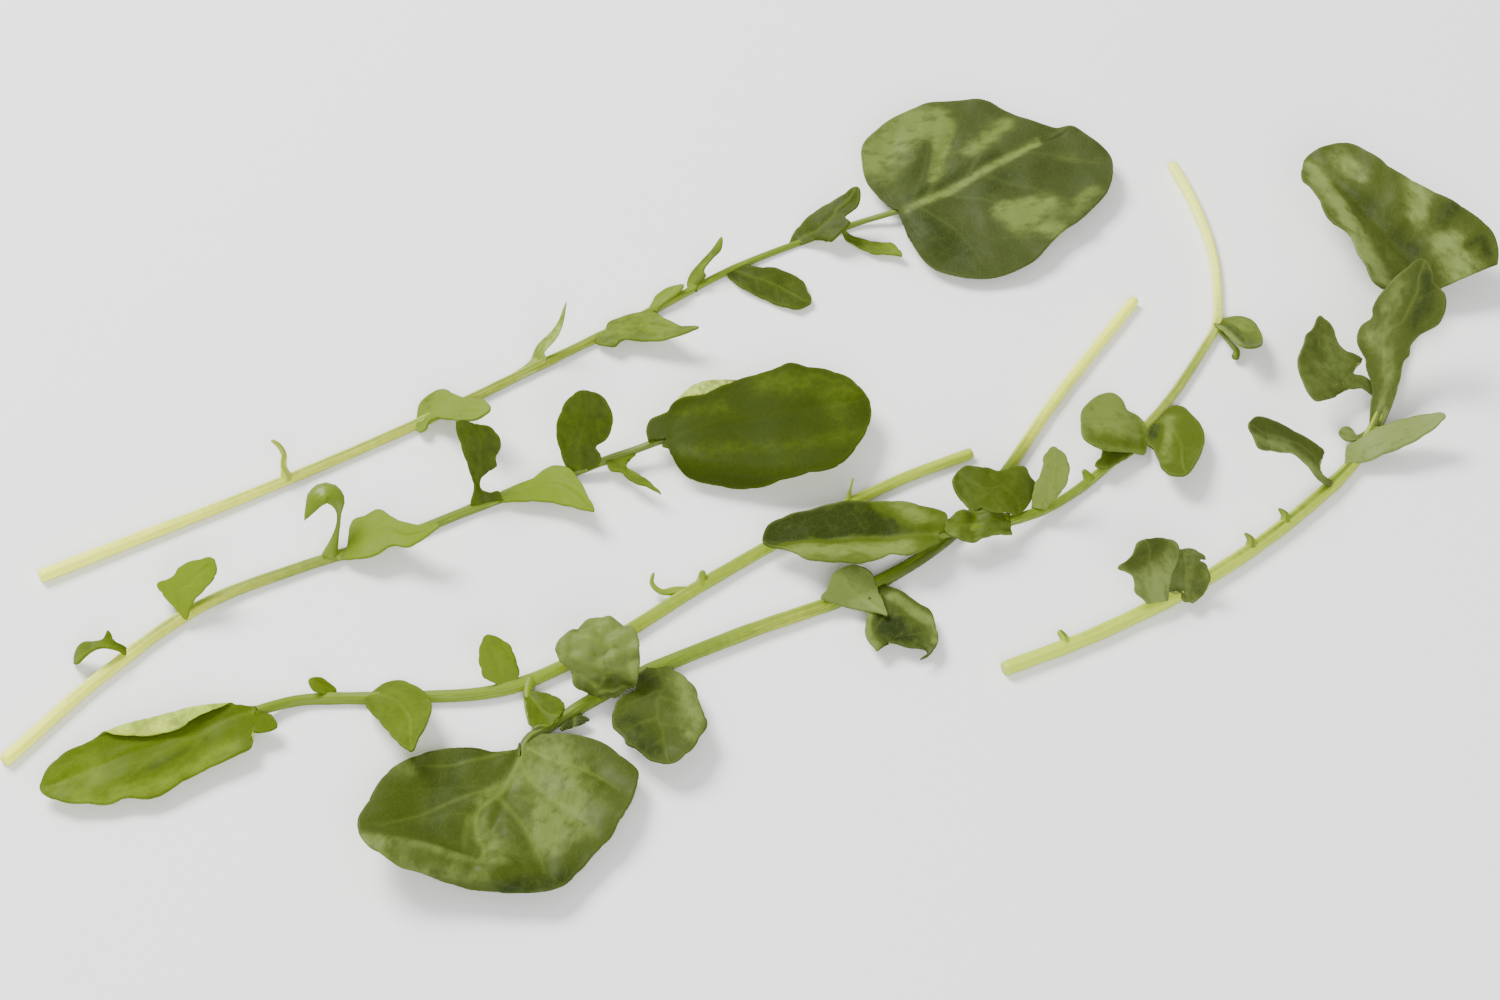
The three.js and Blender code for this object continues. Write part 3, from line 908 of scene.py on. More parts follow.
@dataclass(frozen=True)
class PaintedLightStroke:
    """A soft lighter (above 0) or darker (below 0) stroke on a blade.

    It is painted light and shade laid into the colour: sheens, lit ridges and flaps, and shadowed
    creases and hollows.
    """

    points: Points
    width: float
    shade: float


@dataclass(frozen=True)
class Vein:
    """A vein traced through points of a flat blade, tapering to its end."""

    points: Points
    strength: float = 1.0
    width: float = 0.45


@dataclass(frozen=True)
class Blade:
    """A thin blade cut to an outline, with its veins as relief.

    left and right are the outline's points on each side of the midrib from its base to its tip, as
    (along the midrib, to the right of it), and base is the pair of corners that they start from.
    perch is how far it lies off its stalk. The sheet's rows start at hub, fan is the share of them
    that fan out from there, and lag is how much they trail behind the margins.

    veins are the side veins' places and side_veins their strength, rib is the midrib's width at
    both ends and rib_shown its strength, and traced are veins drawn through given points. ridge
    and valley are the relief of a vein, crumple and grain the height and size of the unevenness,
    teeth and tooth the number and depth of the teeth on a margin, wave and waves the height and
    number of the margin's waves, and step is the size of a face.
    """

    lie: Lie
    left: Points
    tip: Pair
    right: Points
    base: tuple[Pair, Pair] = ((0.0, -1.0), (0.0, 1.0))
    # tone is partly the blade's own lightness and partly painted shade and sheen
    tone: ToneAndShade = ToneAndShade.PLAIN
    face: Face = Face.UPPER
    perch: float = 0.0
    hub: Pair = (0.0, 0.0)
    fan: float = 0.0
    lag: float = 1.25
    veins: tuple[float, ...] = (0.22, 0.42, 0.62, 0.8)
    side_veins: float = 0.3
    rib: Pair = (0.45, 0.2)
    rib_shown: float = 0.6
    traced: tuple[Vein, ...] = ()
    ridge: float = 0.10
    valley: float = 0.12
    crumple: float = 0.3
    grain: float = 7.0
    teeth: float = 5.0
    tooth: float = 0.18
    wave: float = 0.0
    waves: float = 3.0
    step: float = 0.42
    # painted light and shade: soft lighter and darker strokes laid into the upper colour
    streaks: tuple[PaintedLightStroke, ...] = ()

    def size(self) -> Pair:
        """The blade's length, and the width of its wider half."""
        outline = np.array([*self.left, self.tip, *self.right])
        return float(outline[:, 0].max()), float(np.abs(outline[:, 1]).max())

    def margins(self, rows: int) -> tuple[Array, Array]:
        """Both margins from base to tip, each at rows + 1 even places, with their teeth.

        Args:
            rows: Faces along the blade.

        Returns:
            The left margin's points and the right one's.
        """
        ring = smooth_line([self.base[0], *self.left, self.tip, *self.right[::-1], self.base[1]])
        split = CURVE_STEPS * (len(self.left) + 1)
        shares = np.linspace(0, 1, rows + 1)
        sides = []
        for line, hand in ((ring[: split + 1], -1.0), (ring[split:][::-1], 1.0)):
            even = at_shares(line, shares)
            tangent = unit(np.gradient(even, axis=0))
            outward = np.stack([-tangent[:, 1], tangent[:, 0]], -1) * hand
            turns = shares * self.teeth + SCALLOP_SHIFT * hand
            scallop = np.abs(np.sin(math.pi * turns)) ** SCALLOP_POWER - SCALLOP_DEPTH
            fade = ease(*BASE_PLAIN, shares) * ease(*TIP_PLAIN, 1 - shares)
            sides.append(even + outward * (scallop * fade * self.tooth)[:, None])
        sides[1][-1] = sides[0][-1]
        return sides[0], sides[1]

    def midline(self, rows: int) -> Array:
        """The midrib's place for each row of the margins, a little behind them.

        Args:
            rows: Faces along the blade.

        Returns:
            The places, one for each end of a row.
        """
        behind = np.clip((np.linspace(0, 1, rows + 1) - self.fan) / (1 - self.fan), 0, 1) ** self.lag
        left, right = self.margins(4 * rows)
        hub = np.array(self.hub)
        straight = hub + behind[:, None] * (np.array(self.tip) - hub)
        middle = (at_shares(left, behind) + at_shares(right, behind)) / 2
        return straight if self.fan else middle

    def vein_marks(
        self, across: Array, along: Array, metric: Array, half: Array, flat: Array
    ) -> tuple[Array, Array]:
        """How strongly each point lies on a vein.

        Args:
            across: Each point's place from the left margin (-1) to the right (1).
            along: Its row from base (0) to tip (1).
            metric: Millimetres for a unit of along, at each point.
            half: The blade's half width at each point.
            flat: Each point's flat place.

        Returns:
            Fine marks for the veins themselves, and broad ones for the valleys that they lie in.
        """
        out = np.abs(across)
        fine = np.zeros_like(out)
        broad = np.zeros_like(out)
        starts = np.array(self.veins)
        gaps = np.diff(np.append(starts, 1.0))
        for start, gap in zip(starts, gaps):
            shift = VEIN_SHIFT * gap * np.where(across < 0, *SHIFT_SHARES)
            main = start + shift + VEIN_BEND * out**2
            fork = main + FORK_SPREAD * gap * ease(FORK_START, 1.0, out)
            for centre, strength, first in ((main, 1.0, 0.0), (fork, FORK_STRENGTH, FORK_SHOWN)):
                distance = np.abs(along - centre) * metric
                width = VEIN_WIDTH * (VEIN_TAPER[0] - VEIN_TAPER[1] * out)
                onset = ease(first - VEIN_ONSET, first + VEIN_ONSET, out)
                shown = strength * onset * (1 - VEIN_FADE * out)
                mark = np.exp(-((distance / width) ** 2))
                fine = np.maximum(fine, self.side_veins * shown * mark)
                hollow = np.exp(-((distance / VALLEY_WIDTH) ** 2))
                valley = min(1.0, 2 * self.side_veins) * strength * hollow
                broad = np.maximum(broad, valley * ease(0, VALLEY_ONSET, out))
        fade = 1 - TIP_FADE * along**4
        fine, broad = fine * fade, broad * fade
        rib_width = self.rib[0] + (self.rib[1] - self.rib[0]) * along
        from_rib = out * half
        fine = np.maximum(fine, self.rib_shown * np.exp(-((from_rib / rib_width) ** 2)))
        valley_width = RIB_VALLEY[0] * rib_width + RIB_VALLEY[1]
        broad = np.maximum(broad, np.exp(-((from_rib / valley_width) ** 2)))
        for vein in self.traced:
            distance, share = from_line(flat[:, 0], flat[:, 1], vein.points)
            width = vein.width * (1 - TRACED_TAPER * share)
            mark = np.exp(-((distance / width) ** 2))
            fine = np.maximum(fine, vein.strength * (1 - TRACED_FADE * share) * mark)
            hollow = np.exp(-((distance / TRACED_VALLEY_WIDTH) ** 2))
            broad = np.maximum(broad, vein.strength * hollow)
        return fine, broad

    def add_to(self, mesh: bmesh.types.BMesh, root: Array) -> None:
        """Adds the blade's sheet, draped from its root, with its colours' values on its points.

        Args:
            mesh: The mesh it is added to, with the values of BLADE_MARKS.
            root: Where the blade grows from, in the layout.
        """
        root = root + self.perch * np.array(TOWARD_VIEWER)
        length, width = self.size()
        reach = max(float(lengths_along(margin)[-1]) for margin in self.margins(40))
        rows = max(12, round(reach / self.step))
        columns = 2 * max(5, round(width / self.step))
        verts, across, along = grid_sheet(mesh, columns, rows)
        left, right = self.margins(rows)
        middle = self.midline(rows)
        row = np.rint(along * rows).astype(int)
        out = np.abs(across)[:, None]
        margin = np.where((across < 0)[:, None], left[row], right[row])
        flat = middle[row] * (1 - out) + margin * out
        half = np.linalg.norm(margin - middle[row], axis=1)
        middle_pace = np.linalg.norm(np.gradient(middle, axis=0), axis=1)[row] * rows
        metric = middle_pace * (1 - out[:, 0]) + reach * out[:, 0]
        fine, broad = self.vein_marks(across, along, metric, half, flat)
        ahead, side = flat[:, 0], flat[:, 1]
        share, size, seed = FINE_RIPPLE
        rough = ripple(flat, self.grain, 0.0) + share * ripple(flat, self.grain * size, seed)
        spans = [np.linalg.norm(edge - middle, axis=1) for edge in (left, right)]
        from_rib = np.minimum(*spans)[row] * CALM_RIB_SHARE + half * out[:, 0]
        soft_edge = ease(0, CALM_RIB, from_rib)
        height = self.ridge * fine - self.valley * broad + self.crumple * rough * soft_edge
        angle = np.arctan2(side, ahead + 1e-6)
        wave = self.wave * np.sin(angle * self.waves)
        height = height + wave * (out[:, 0] * half / max(width, 1)) ** 2
        height = height * ease(0.0, CALM_TIP, np.hypot(ahead - self.tip[0], side - self.tip[1]))
        point = self.lie.place(root, length, width, ahead, side)
        onward = self.lie.place(root, length, width, ahead + PROBE, side) - point
        rightward = self.lie.place(root, length, width, ahead, side + PROBE) - point
        normal = unit(np.cross(rightward, onward))
        point = point + normal * (height * ease(0.0, CALM_ROOT, np.hypot(ahead, side)))[:, None]
        point[:, 2] = np.maximum(point[:, 2], LOWEST_BLADE)
        # painted light and shade: each blade's lightness and its strokes, which turn its upper green
        # deeper or paler
        shade = np.full(len(ahead), self.tone.value)
        for streak in self.streaks:
            distance, _ = from_line(ahead, side, streak.points)
            shade = shade + streak.shade * np.exp(-((distance / streak.width) ** 2))
        rim = np.exp(-((half * (1 - out[:, 0]) / RIM_WIDTH) ** 2))
        write_places(verts, point)
        write_marks(mesh, verts, dict(zip(BLADE_MARKS, (fine, shade, rim, ahead, side))))
        for vert in verts:
            for face in vert.link_faces:
                face.material_index = self.face.value
        bmesh.ops.remove_doubles(mesh, verts=verts, dist=MERGE)


def write_flat_map(thing: bpy.types.Object, first: str, second: str, scale: Pair) -> None:
    """Writes two of a mesh's point values as its flat coordinates.

    Args:
        thing: The piece.
        first: The value along.
        second: The value across.
        scale: What each is multiplied by.
    """
    data = thing.data
    corner = np.empty(len(data.loops), np.int32)
    data.loops.foreach_get("vertex_index", corner)
    columns = []
    for name, factor in zip((first, second), scale):
        values = np.empty(len(data.vertices), np.float32)
        data.attributes[name].data.foreach_get("value", values)
        columns.append(values[corner] * factor)
    flat = data.uv_layers.new(name="flat")
    flat.data.foreach_set("uv", np.stack(columns, -1).astype(np.float32).ravel())


@dataclass(frozen=True)
class Spur:
    """A short hook or nub that grows from a stalk, as steps away from where it starts.

    at is its place along the stalk, flat how high its section is beside its width, and green how
    much greener than its stalk it gets.
    """

    at: float
    path: tuple[tuple[float, float, float], ...]
    radii: tuple[float, ...] = (1.2, 0.6, 0.4, 0.3)
    flat: float = 1.0
    green: float = 0.25

    def add_to(self, mesh: bmesh.types.BMesh, start: Array, green: float) -> None:
        """Adds the spur's rod, as green as its stalk there and greener to its tip."""
        add_rod(
            mesh, smooth_line([start + np.array(step) for step in self.path]),
            lambda shares: sample(self.radii, shares), SPUR_ROUND, SPUR_ROWS,
            lambda shares: green + self.green * (0.3 + 0.7 * shares), ribs=0.02,
            squash_at=lambda shares: 1 + (self.flat - 1) * ease(0.1, 0.5, shares),
        )


@dataclass(frozen=True)
class Leaf:
    """One leaf: its stalk, side leaflets, spurs and terminal leaflet.

    route is the stalk's line with its lift above the surface. radii and greens are spread evenly
    along it, and leaflets and spurs have their places along it in millimetres. lobes are further
    blades that grow with the terminal leaflet, and rib_reach is how far up that its midrib shows.
    """

    number: int
    route: tuple[tuple[float, float, float], ...]
    radii: tuple[float, ...]
    greens: tuple[float, ...]
    terminal: Blade
    leaflets: tuple[tuple[float, Blade], ...]
    spurs: tuple[Spur, ...]
    blade_finish: BladeFinish
    stalk_finish: StalkFinish
    lobes: tuple[Blade, ...] = ()
    rib_reach: float = 0.6
    side_finish: BladeFinish | None = None

    def line(self) -> Array:
        """The stalk's centre line: its flat underside is its lift above the surface.

        Returns:
            The line's points.
        """
        radii = sample(self.radii, np.linspace(0, 1, len(self.route)))
        points = [(x, y, lift + radius * UNDERSIDE) for (x, y, lift), radius in zip(self.route, radii)]
        return smooth_line(points, 48)

    def root_at(self, line: Array, place: float) -> Array:
        """The stalk's centre at a distance along it."""
        return at_shares(line, np.array([place / lengths_along(line)[-1]]))[0]

    def rib_line(self, line: Array) -> Array:
        """The terminal leaflet's midrib, just below its blade.

        Args:
            line: The stalk's centre line.

        Returns:
            The midrib's points, from the end of the stalk.
        """
        blade = self.terminal
        length, width = blade.size()
        main = smooth_line(blade.traced[0].points if blade.traced else ((0, 0), blade.tip))
        main = at_shares(main, np.linspace(0, self.rib_reach, RIB_POINTS))
        ahead, side = np.maximum(main[:, 0], 1.5), main[:, 1]
        root = line[-1] + blade.perch * ease(0.0, 6.0, ahead)[:, None] * np.array(TOWARD_VIEWER)
        path = blade.lie.place(root, length, width, ahead, side)
        onward = blade.lie.place(root, length, width, ahead + PROBE, side) - path
        across = blade.lie.place(root, length, width, ahead, side + PROBE) - path
        sink = (0.45 + blade.valley) * ease(0.0, 5.0, ahead)
        path = path - unit(np.cross(across, onward)) * sink[:, None]
        path[:, 2] = np.maximum(path[:, 2], LOWEST_RIB)
        return path[1:]

    def build_stalk(self) -> bpy.types.Object:
        """The petiole, rachis and midrib as one ribbed rod, with its spurs.

        Returns:
            The finished piece.
        """
        line = self.line()
        length = float(lengths_along(line)[-1])
        kept = at_shares(line, np.linspace(0, 1 - 1.5 / length, round(length / 2)))
        whole = smooth_line(np.vstack([kept, self.rib_line(line)]), 8)
        total = float(lengths_along(whole)[-1])
        mesh = new_mesh(*STALK_MARKS)
        joints = [place for place, _ in self.leaflets]

        def radius_at(shares: Array) -> Array:
            """The radius, swollen where leaflets join, lipped at the cut and thin in the midrib."""
            place = shares * total
            radius = sample(self.radii, place / length)
            for joint in joints:
                radius = radius * (1 + JOINT_SWELL * np.exp(-(((place - joint) / JOINT_REACH) ** 2)))
            knots = ripple(np.stack([place, place * 0], -1), KNOT_SPACING, self.number)
            radius = radius * (1 + KNOT_HEIGHT * knots) * (0.9 + 0.1 * ease(0, 0.5, place))
            gone = np.clip((place - length) / (total - length), 0, 1)
            thin = RIB_RADIUS[0] - RIB_RADIUS[1] * gone
            beyond = ease(length - RIB_BLEND[0], length + RIB_BLEND[1], place)
            return radius * (1 - beyond) + thin * beyond

        add_rod(
            mesh, whole, radius_at, STALK_ROUND, round(total / STALK_STEP),
            lambda shares: sample(self.greens, shares * total / length), groove=0.13, ribs=0.02,
        )
        for spur in self.spurs:
            green = float(sample(self.greens, np.array([spur.at / length]))[0])
            spur.add_to(mesh, self.root_at(line, spur.at), green)
        thing = finished(mesh, f"leaf_{self.number}_stalk")
        write_flat_map(thing, "run", "turn", PER_CENTIMETRE)
        self.stalk_finish.dress(thing)
        return thing

    def build_blade(
        self, name: str, blades: Sequence[tuple[Array, Blade]], finish: BladeFinish
    ) -> bpy.types.Object:
        """Some of the leaf's blades as one piece of even thickness.

        Args:
            name: The piece's name.
            blades: Each blade with where it grows from.
            finish: What they are dressed in.

        Returns:
            The finished piece.
        """
        mesh = new_mesh(*BLADE_MARKS)
        for root, blade in blades:
            blade.add_to(mesh, root)
        thing = finished(mesh, name, closed=False)
        write_flat_map(thing, "ahead", "right", PER_CENTIMETRE)
        finish.dress(thing)
        skin = thing.modifiers.new("thickness", "SOLIDIFY")
        skin.thickness = BLADE_THICKNESS * MILLIMETRE
        skin.offset = 0.0
        skin.material_offset = Face.UNDER.value
        skin.use_even_offset = False
        return thing

    def build(self) -> list[bpy.types.Object]:
        """Builds, dresses and places the leaf's three pieces.

        Returns:
            The stalk, the side leaflets and the terminal leaflet.
        """
        line = self.line()
        leaf = f"leaf_{self.number}"
        stalk = self.build_stalk()
        roots = [(self.root_at(line, place), blade) for place, blade in self.leaflets]
        finish = self.side_finish or self.blade_finish
        sides = self.build_blade(f"{leaf}_side_leaflets", roots, finish)
        ends = [(line[-1], blade) for blade in (self.terminal, *self.lobes)]
        terminal = self.build_blade(f"{leaf}_terminal_leaflet", ends, self.blade_finish)
        for piece, slot in ((stalk, "petiole"), (sides, "blade"), (terminal, "blade")):
            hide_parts(f"{leaf}_{slot}")
            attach(piece, BODY)
            LOG.info("%s: %d faces", piece.name, len(piece.data.polygons))
        return [stalk, sides, terminal]


# ---------------------------------------------------------------------------
# The six leaves
# ---------------------------------------------------------------------------

CREAM = (0.90, 0.97, 0.09)
PALE_GREEN = (0.46, 0.58, 0.04)
# the stalks' deepest green, which also serves as their painted underside shade
STALK_DARK = (0.040, 0.056, 0.004)


def first_leaf() -> Leaf:
    """The longest leaf, with its great round terminal leaflet at the back."""
    terminal = Blade(
        Lie(17, 4, 7, (3, -1), (4, -6)), perch=0.9,
        left=(
            (-2.4, -4.9), (-3.1, -7.8), (-2.6, -12.2), (-1.3, -15.6), (2.5, -18.5), (6.5, -20),
            (11, -21), (15, -21), (19, -20.5), (22.5, -19), (25, -16), (27.5, -13.5), (30, -11.5),
            (32, -10.3),
        ),
        tip=(35, -9.7),
        right=(
            (-0.2, 3), (-0.2, 5.9), (-0.2, 9.2), (0.6, 12.5), (2.4, 15), (5.5, 17.5), (10, 19),
            (15, 19), (19, 17.5), (22.5, 15), (25.5, 13), (29, 11.5), (32.5, 9), (35.5, 6.5), (38, 2.5),
            (39, -2), (37, -6.5),
        ),
        base=((-1.3, -2), (-0.2, 1.5)), fan=0.22, lag=1.15, veins=(0.26, 0.4, 0.55, 0.7, 0.84),
        side_veins=0.12, rib_shown=0,
        traced=(
            Vein(((0.5, 0), (6, -1.3), (12.2, -3.3), (20, -5.7), (27.6, -8.4), (34.8, -10)), 0.5, 0.6),
            Vein(((6, -1.5), (12, -10), (17, -17)), 0.6, 0.6),
            Vein(((14, -4), (20, -10), (26, -14)), 0.6), Vein(((3, -1), (8, -9), (12, -17.5)), 0.5),
            Vein(((8, -2), (16, 4), (22, 14)), 0.5), Vein(((15, -4), (24, 3), (31, 9)), 0.5),
            Vein(((3, 0), (8, 8), (10, 17)), 0.5), Vein(((24, -6), (32, -3), (37, 0)), 0.4),
        ),
        ridge=0.14, valley=0.35, crumple=0.5, grain=7, teeth=7, tooth=0.12, wave=0.4, waves=3.5,
        streaks=(
            PaintedLightStroke(((1.5, 0.8), (12.4, -2.4), (20, -4.8), (27.8, -7.6)), 1.0, 0.6),
            PaintedLightStroke(((3, -2), (12, -4.7), (20, -7)), 0.9, -0.4),
            PaintedLightStroke(((-1, -12), (4, -15), (9, -17)), 5.0, 0.55), PaintedLightStroke(((16, -9), (24, -13)), 1.8, 0.4),
            PaintedLightStroke(((8, -5), (12, -12), (14, -17)), 1.5, 0.4), PaintedLightStroke(((5, -4), (9, -12)), 1.0, -0.3),
            PaintedLightStroke(((17, 6), (24, 6.5)), 2.4, 0.55), PaintedLightStroke(((19, 9), (25, 13.5)), 2.6, 0.45),
            PaintedLightStroke(((29, 9), (33, 6)), 2.2, 0.3), PaintedLightStroke(((3, 5), (6, 13)), 4.0, -0.4),
            PaintedLightStroke(((12, 1), (26, -2), (34, 0)), 3.0, -0.25), PaintedLightStroke(((30, -3), (36, -1)), 2.0, 0.3),
        ),
    )
    leaflets = (
        (69, Blade(
            Lie(-18, 32, heel=0), left=((-2.7, -3), (-0.6, -6.7), (5.8, -3.4), (10.7, -2)),
            tip=(13.6, 1.3), right=((-0.3, 3.1), (0.7, 2.7), (0.7, 0.8), (9.1, 2.5), (12.7, 2.4)),
            base=((-2, 0.6), (-1.2, 2.6)), tone=ToneAndShade.PALE, perch=1.2,
        )),
        (92, Blade(
            Lie(66, 42, heel=0), left=((-1.5, -3), (1.9, -2.6), (5.1, -0.9), (7.2, -0.3)),
            tip=(10.3, 0), right=((-1.8, -0.8), (0.3, -0.2), (1, -1), (1.9, -0.7), (4.9, 0.5)),
            base=((-7.3, -5.4), (-5.5, -3)), tone=ToneAndShade.PALE, face=Face.UNDER, perch=0.9, crumple=0.1,
            tooth=0,
        )),
        (101.5, Blade(
            Lie(-5, 12),
            left=((1.5, -1), (1.7, -3), (3, -4), (7, -5.2), (9, -5.2), (12, -3), (14.5, -1.2)),
            tip=(17.6, -0.5),
            right=((1, 1.7), (3.5, 2.5), (4.6, 1.2), (9.5, 1.5), (13, 1.4), (16, 0.4)), tone=ToneAndShade.LIGHT,
            perch=0.8,
        )),
        (113, Blade(
            Lie(42, 10), left=((0.7, -1.2), (2, -1.8), (3.5, -1.8), (5, -1.5)), tip=(7, 0),
            right=((0.7, 0.5), (3.5, 0.5), (5.5, 0.5)), tone=ToneAndShade.PALE, perch=0.5, crumple=0.1, tooth=0,
        )),
        (121, Blade(
            Lie(51, 30), left=((0.5, -1.4), (2, -1.8), (4.7, -1.5), (7.5, -1)), tip=(10.3, -0.7),
            right=((1.5, 0.5), (3.3, 0.8), (3.8, -0.1), (6.3, 0), (8.4, 0.4)), tone=ToneAndShade.LIGHT,
            crumple=0.1, tooth=0,
        )),
        (129.5, Blade(
            Lie(-33, 6, 10),
            left=((1, -1.5), (3.5, -2.1), (6, -3.6), (9, -4), (11.5, -3.8), (13.5, -2.3)),
            tip=(15.5, -0.3), right=((0, 1.8), (3.5, 3.2), (7.5, 3.3), (12.5, 3), (14.5, 2.3)),
            tone=ToneAndShade.DARK,
        )),
        (143.5, Blade(
            Lie(33, 32, heel=0), left=((-0.5, -2.7), (3.3, -2.9), (7.7, -1.9)), tip=(12.6, -0.5),
            right=(
                (1.2, 1.3), (2.6, 2.9), (3.2, 4.2), (5.7, 4), (7.8, 3.9), (7.7, 2.1), (10, 2.5),
                (11.5, 1.8), (12.9, 0.3),
            ),
            base=((-2.5, -1.2), (-1, 0)), tone=ToneAndShade.DARK, perch=0.8,
            streaks=(PaintedLightStroke(((0, 1), (4, 3)), 1.2, 0.12),),
        )),
        (150.5, Blade(
            Lie(-38, 6),
            left=((1.5, 0.4), (3.2, 0.6), (5.5, 0.2), (7.8, -0.6), (9.1, -1.6), (10.8, -1.3)),
            tip=(12.9, 0.1), right=((0.6, 0.8), (2.2, 1.9), (6.3, 2.3), (8.6, 2), (10.6, 0.8)),
            tone=ToneAndShade.LIGHT, crumple=0.15,
        )),
    )
    return Leaf(
        number=1,
        route=(
            (-112.5, -17, 0), (-96, -8, 0), (-80.5, 0.5, 0), (-65, 9.5, 0), (-50.5, 18.5, 0),
            (-35, 29, 0), (-17.5, 41, 0), (-1.5, 52.5, 0), (17, 62, 0), (25.3, 64, 1.6),
        ),
        radii=(1.1, 0.9, 0.85, 0.75, 0.6, 0.5), greens=(0.08, 0.3, 0.55, 0.75, 0.85, 0.95, 1.2),
        terminal=terminal, leaflets=leaflets,
        spurs=(Spur(
            43, ((0, 0, 0), (-0.5, 1, 2), (-0.4, 2, 4), (-1.2, 2.8, 5.2), (-2.4, 3.4, 5.8)),
            (1.1, 0.6, 0.5, 0.45, 0.3),
        ),),
        blade_finish=BladeFinish(
            "first_blade", deep=(0.02, 0.031, 0.003), body=(0.036, 0.05, 0.009),
            light=(0.118, 0.16, 0.034), vein=(0.135, 0.185, 0.04), under=(0.15, 0.2, 0.04),
        ),
        side_finish=BladeFinish(
            "first_side", deep=(0.02, 0.031, 0.0008), body=(0.038, 0.056, 0.0012),
            light=(0.125, 0.182, 0.011), vein=(0.15, 0.21, 0.012), under=(0.4, 0.5, 0.13),
        ),
        stalk_finish=StalkFinish("first_stalk", CREAM, (0.105, 0.16, 0.008), STALK_DARK),
    )


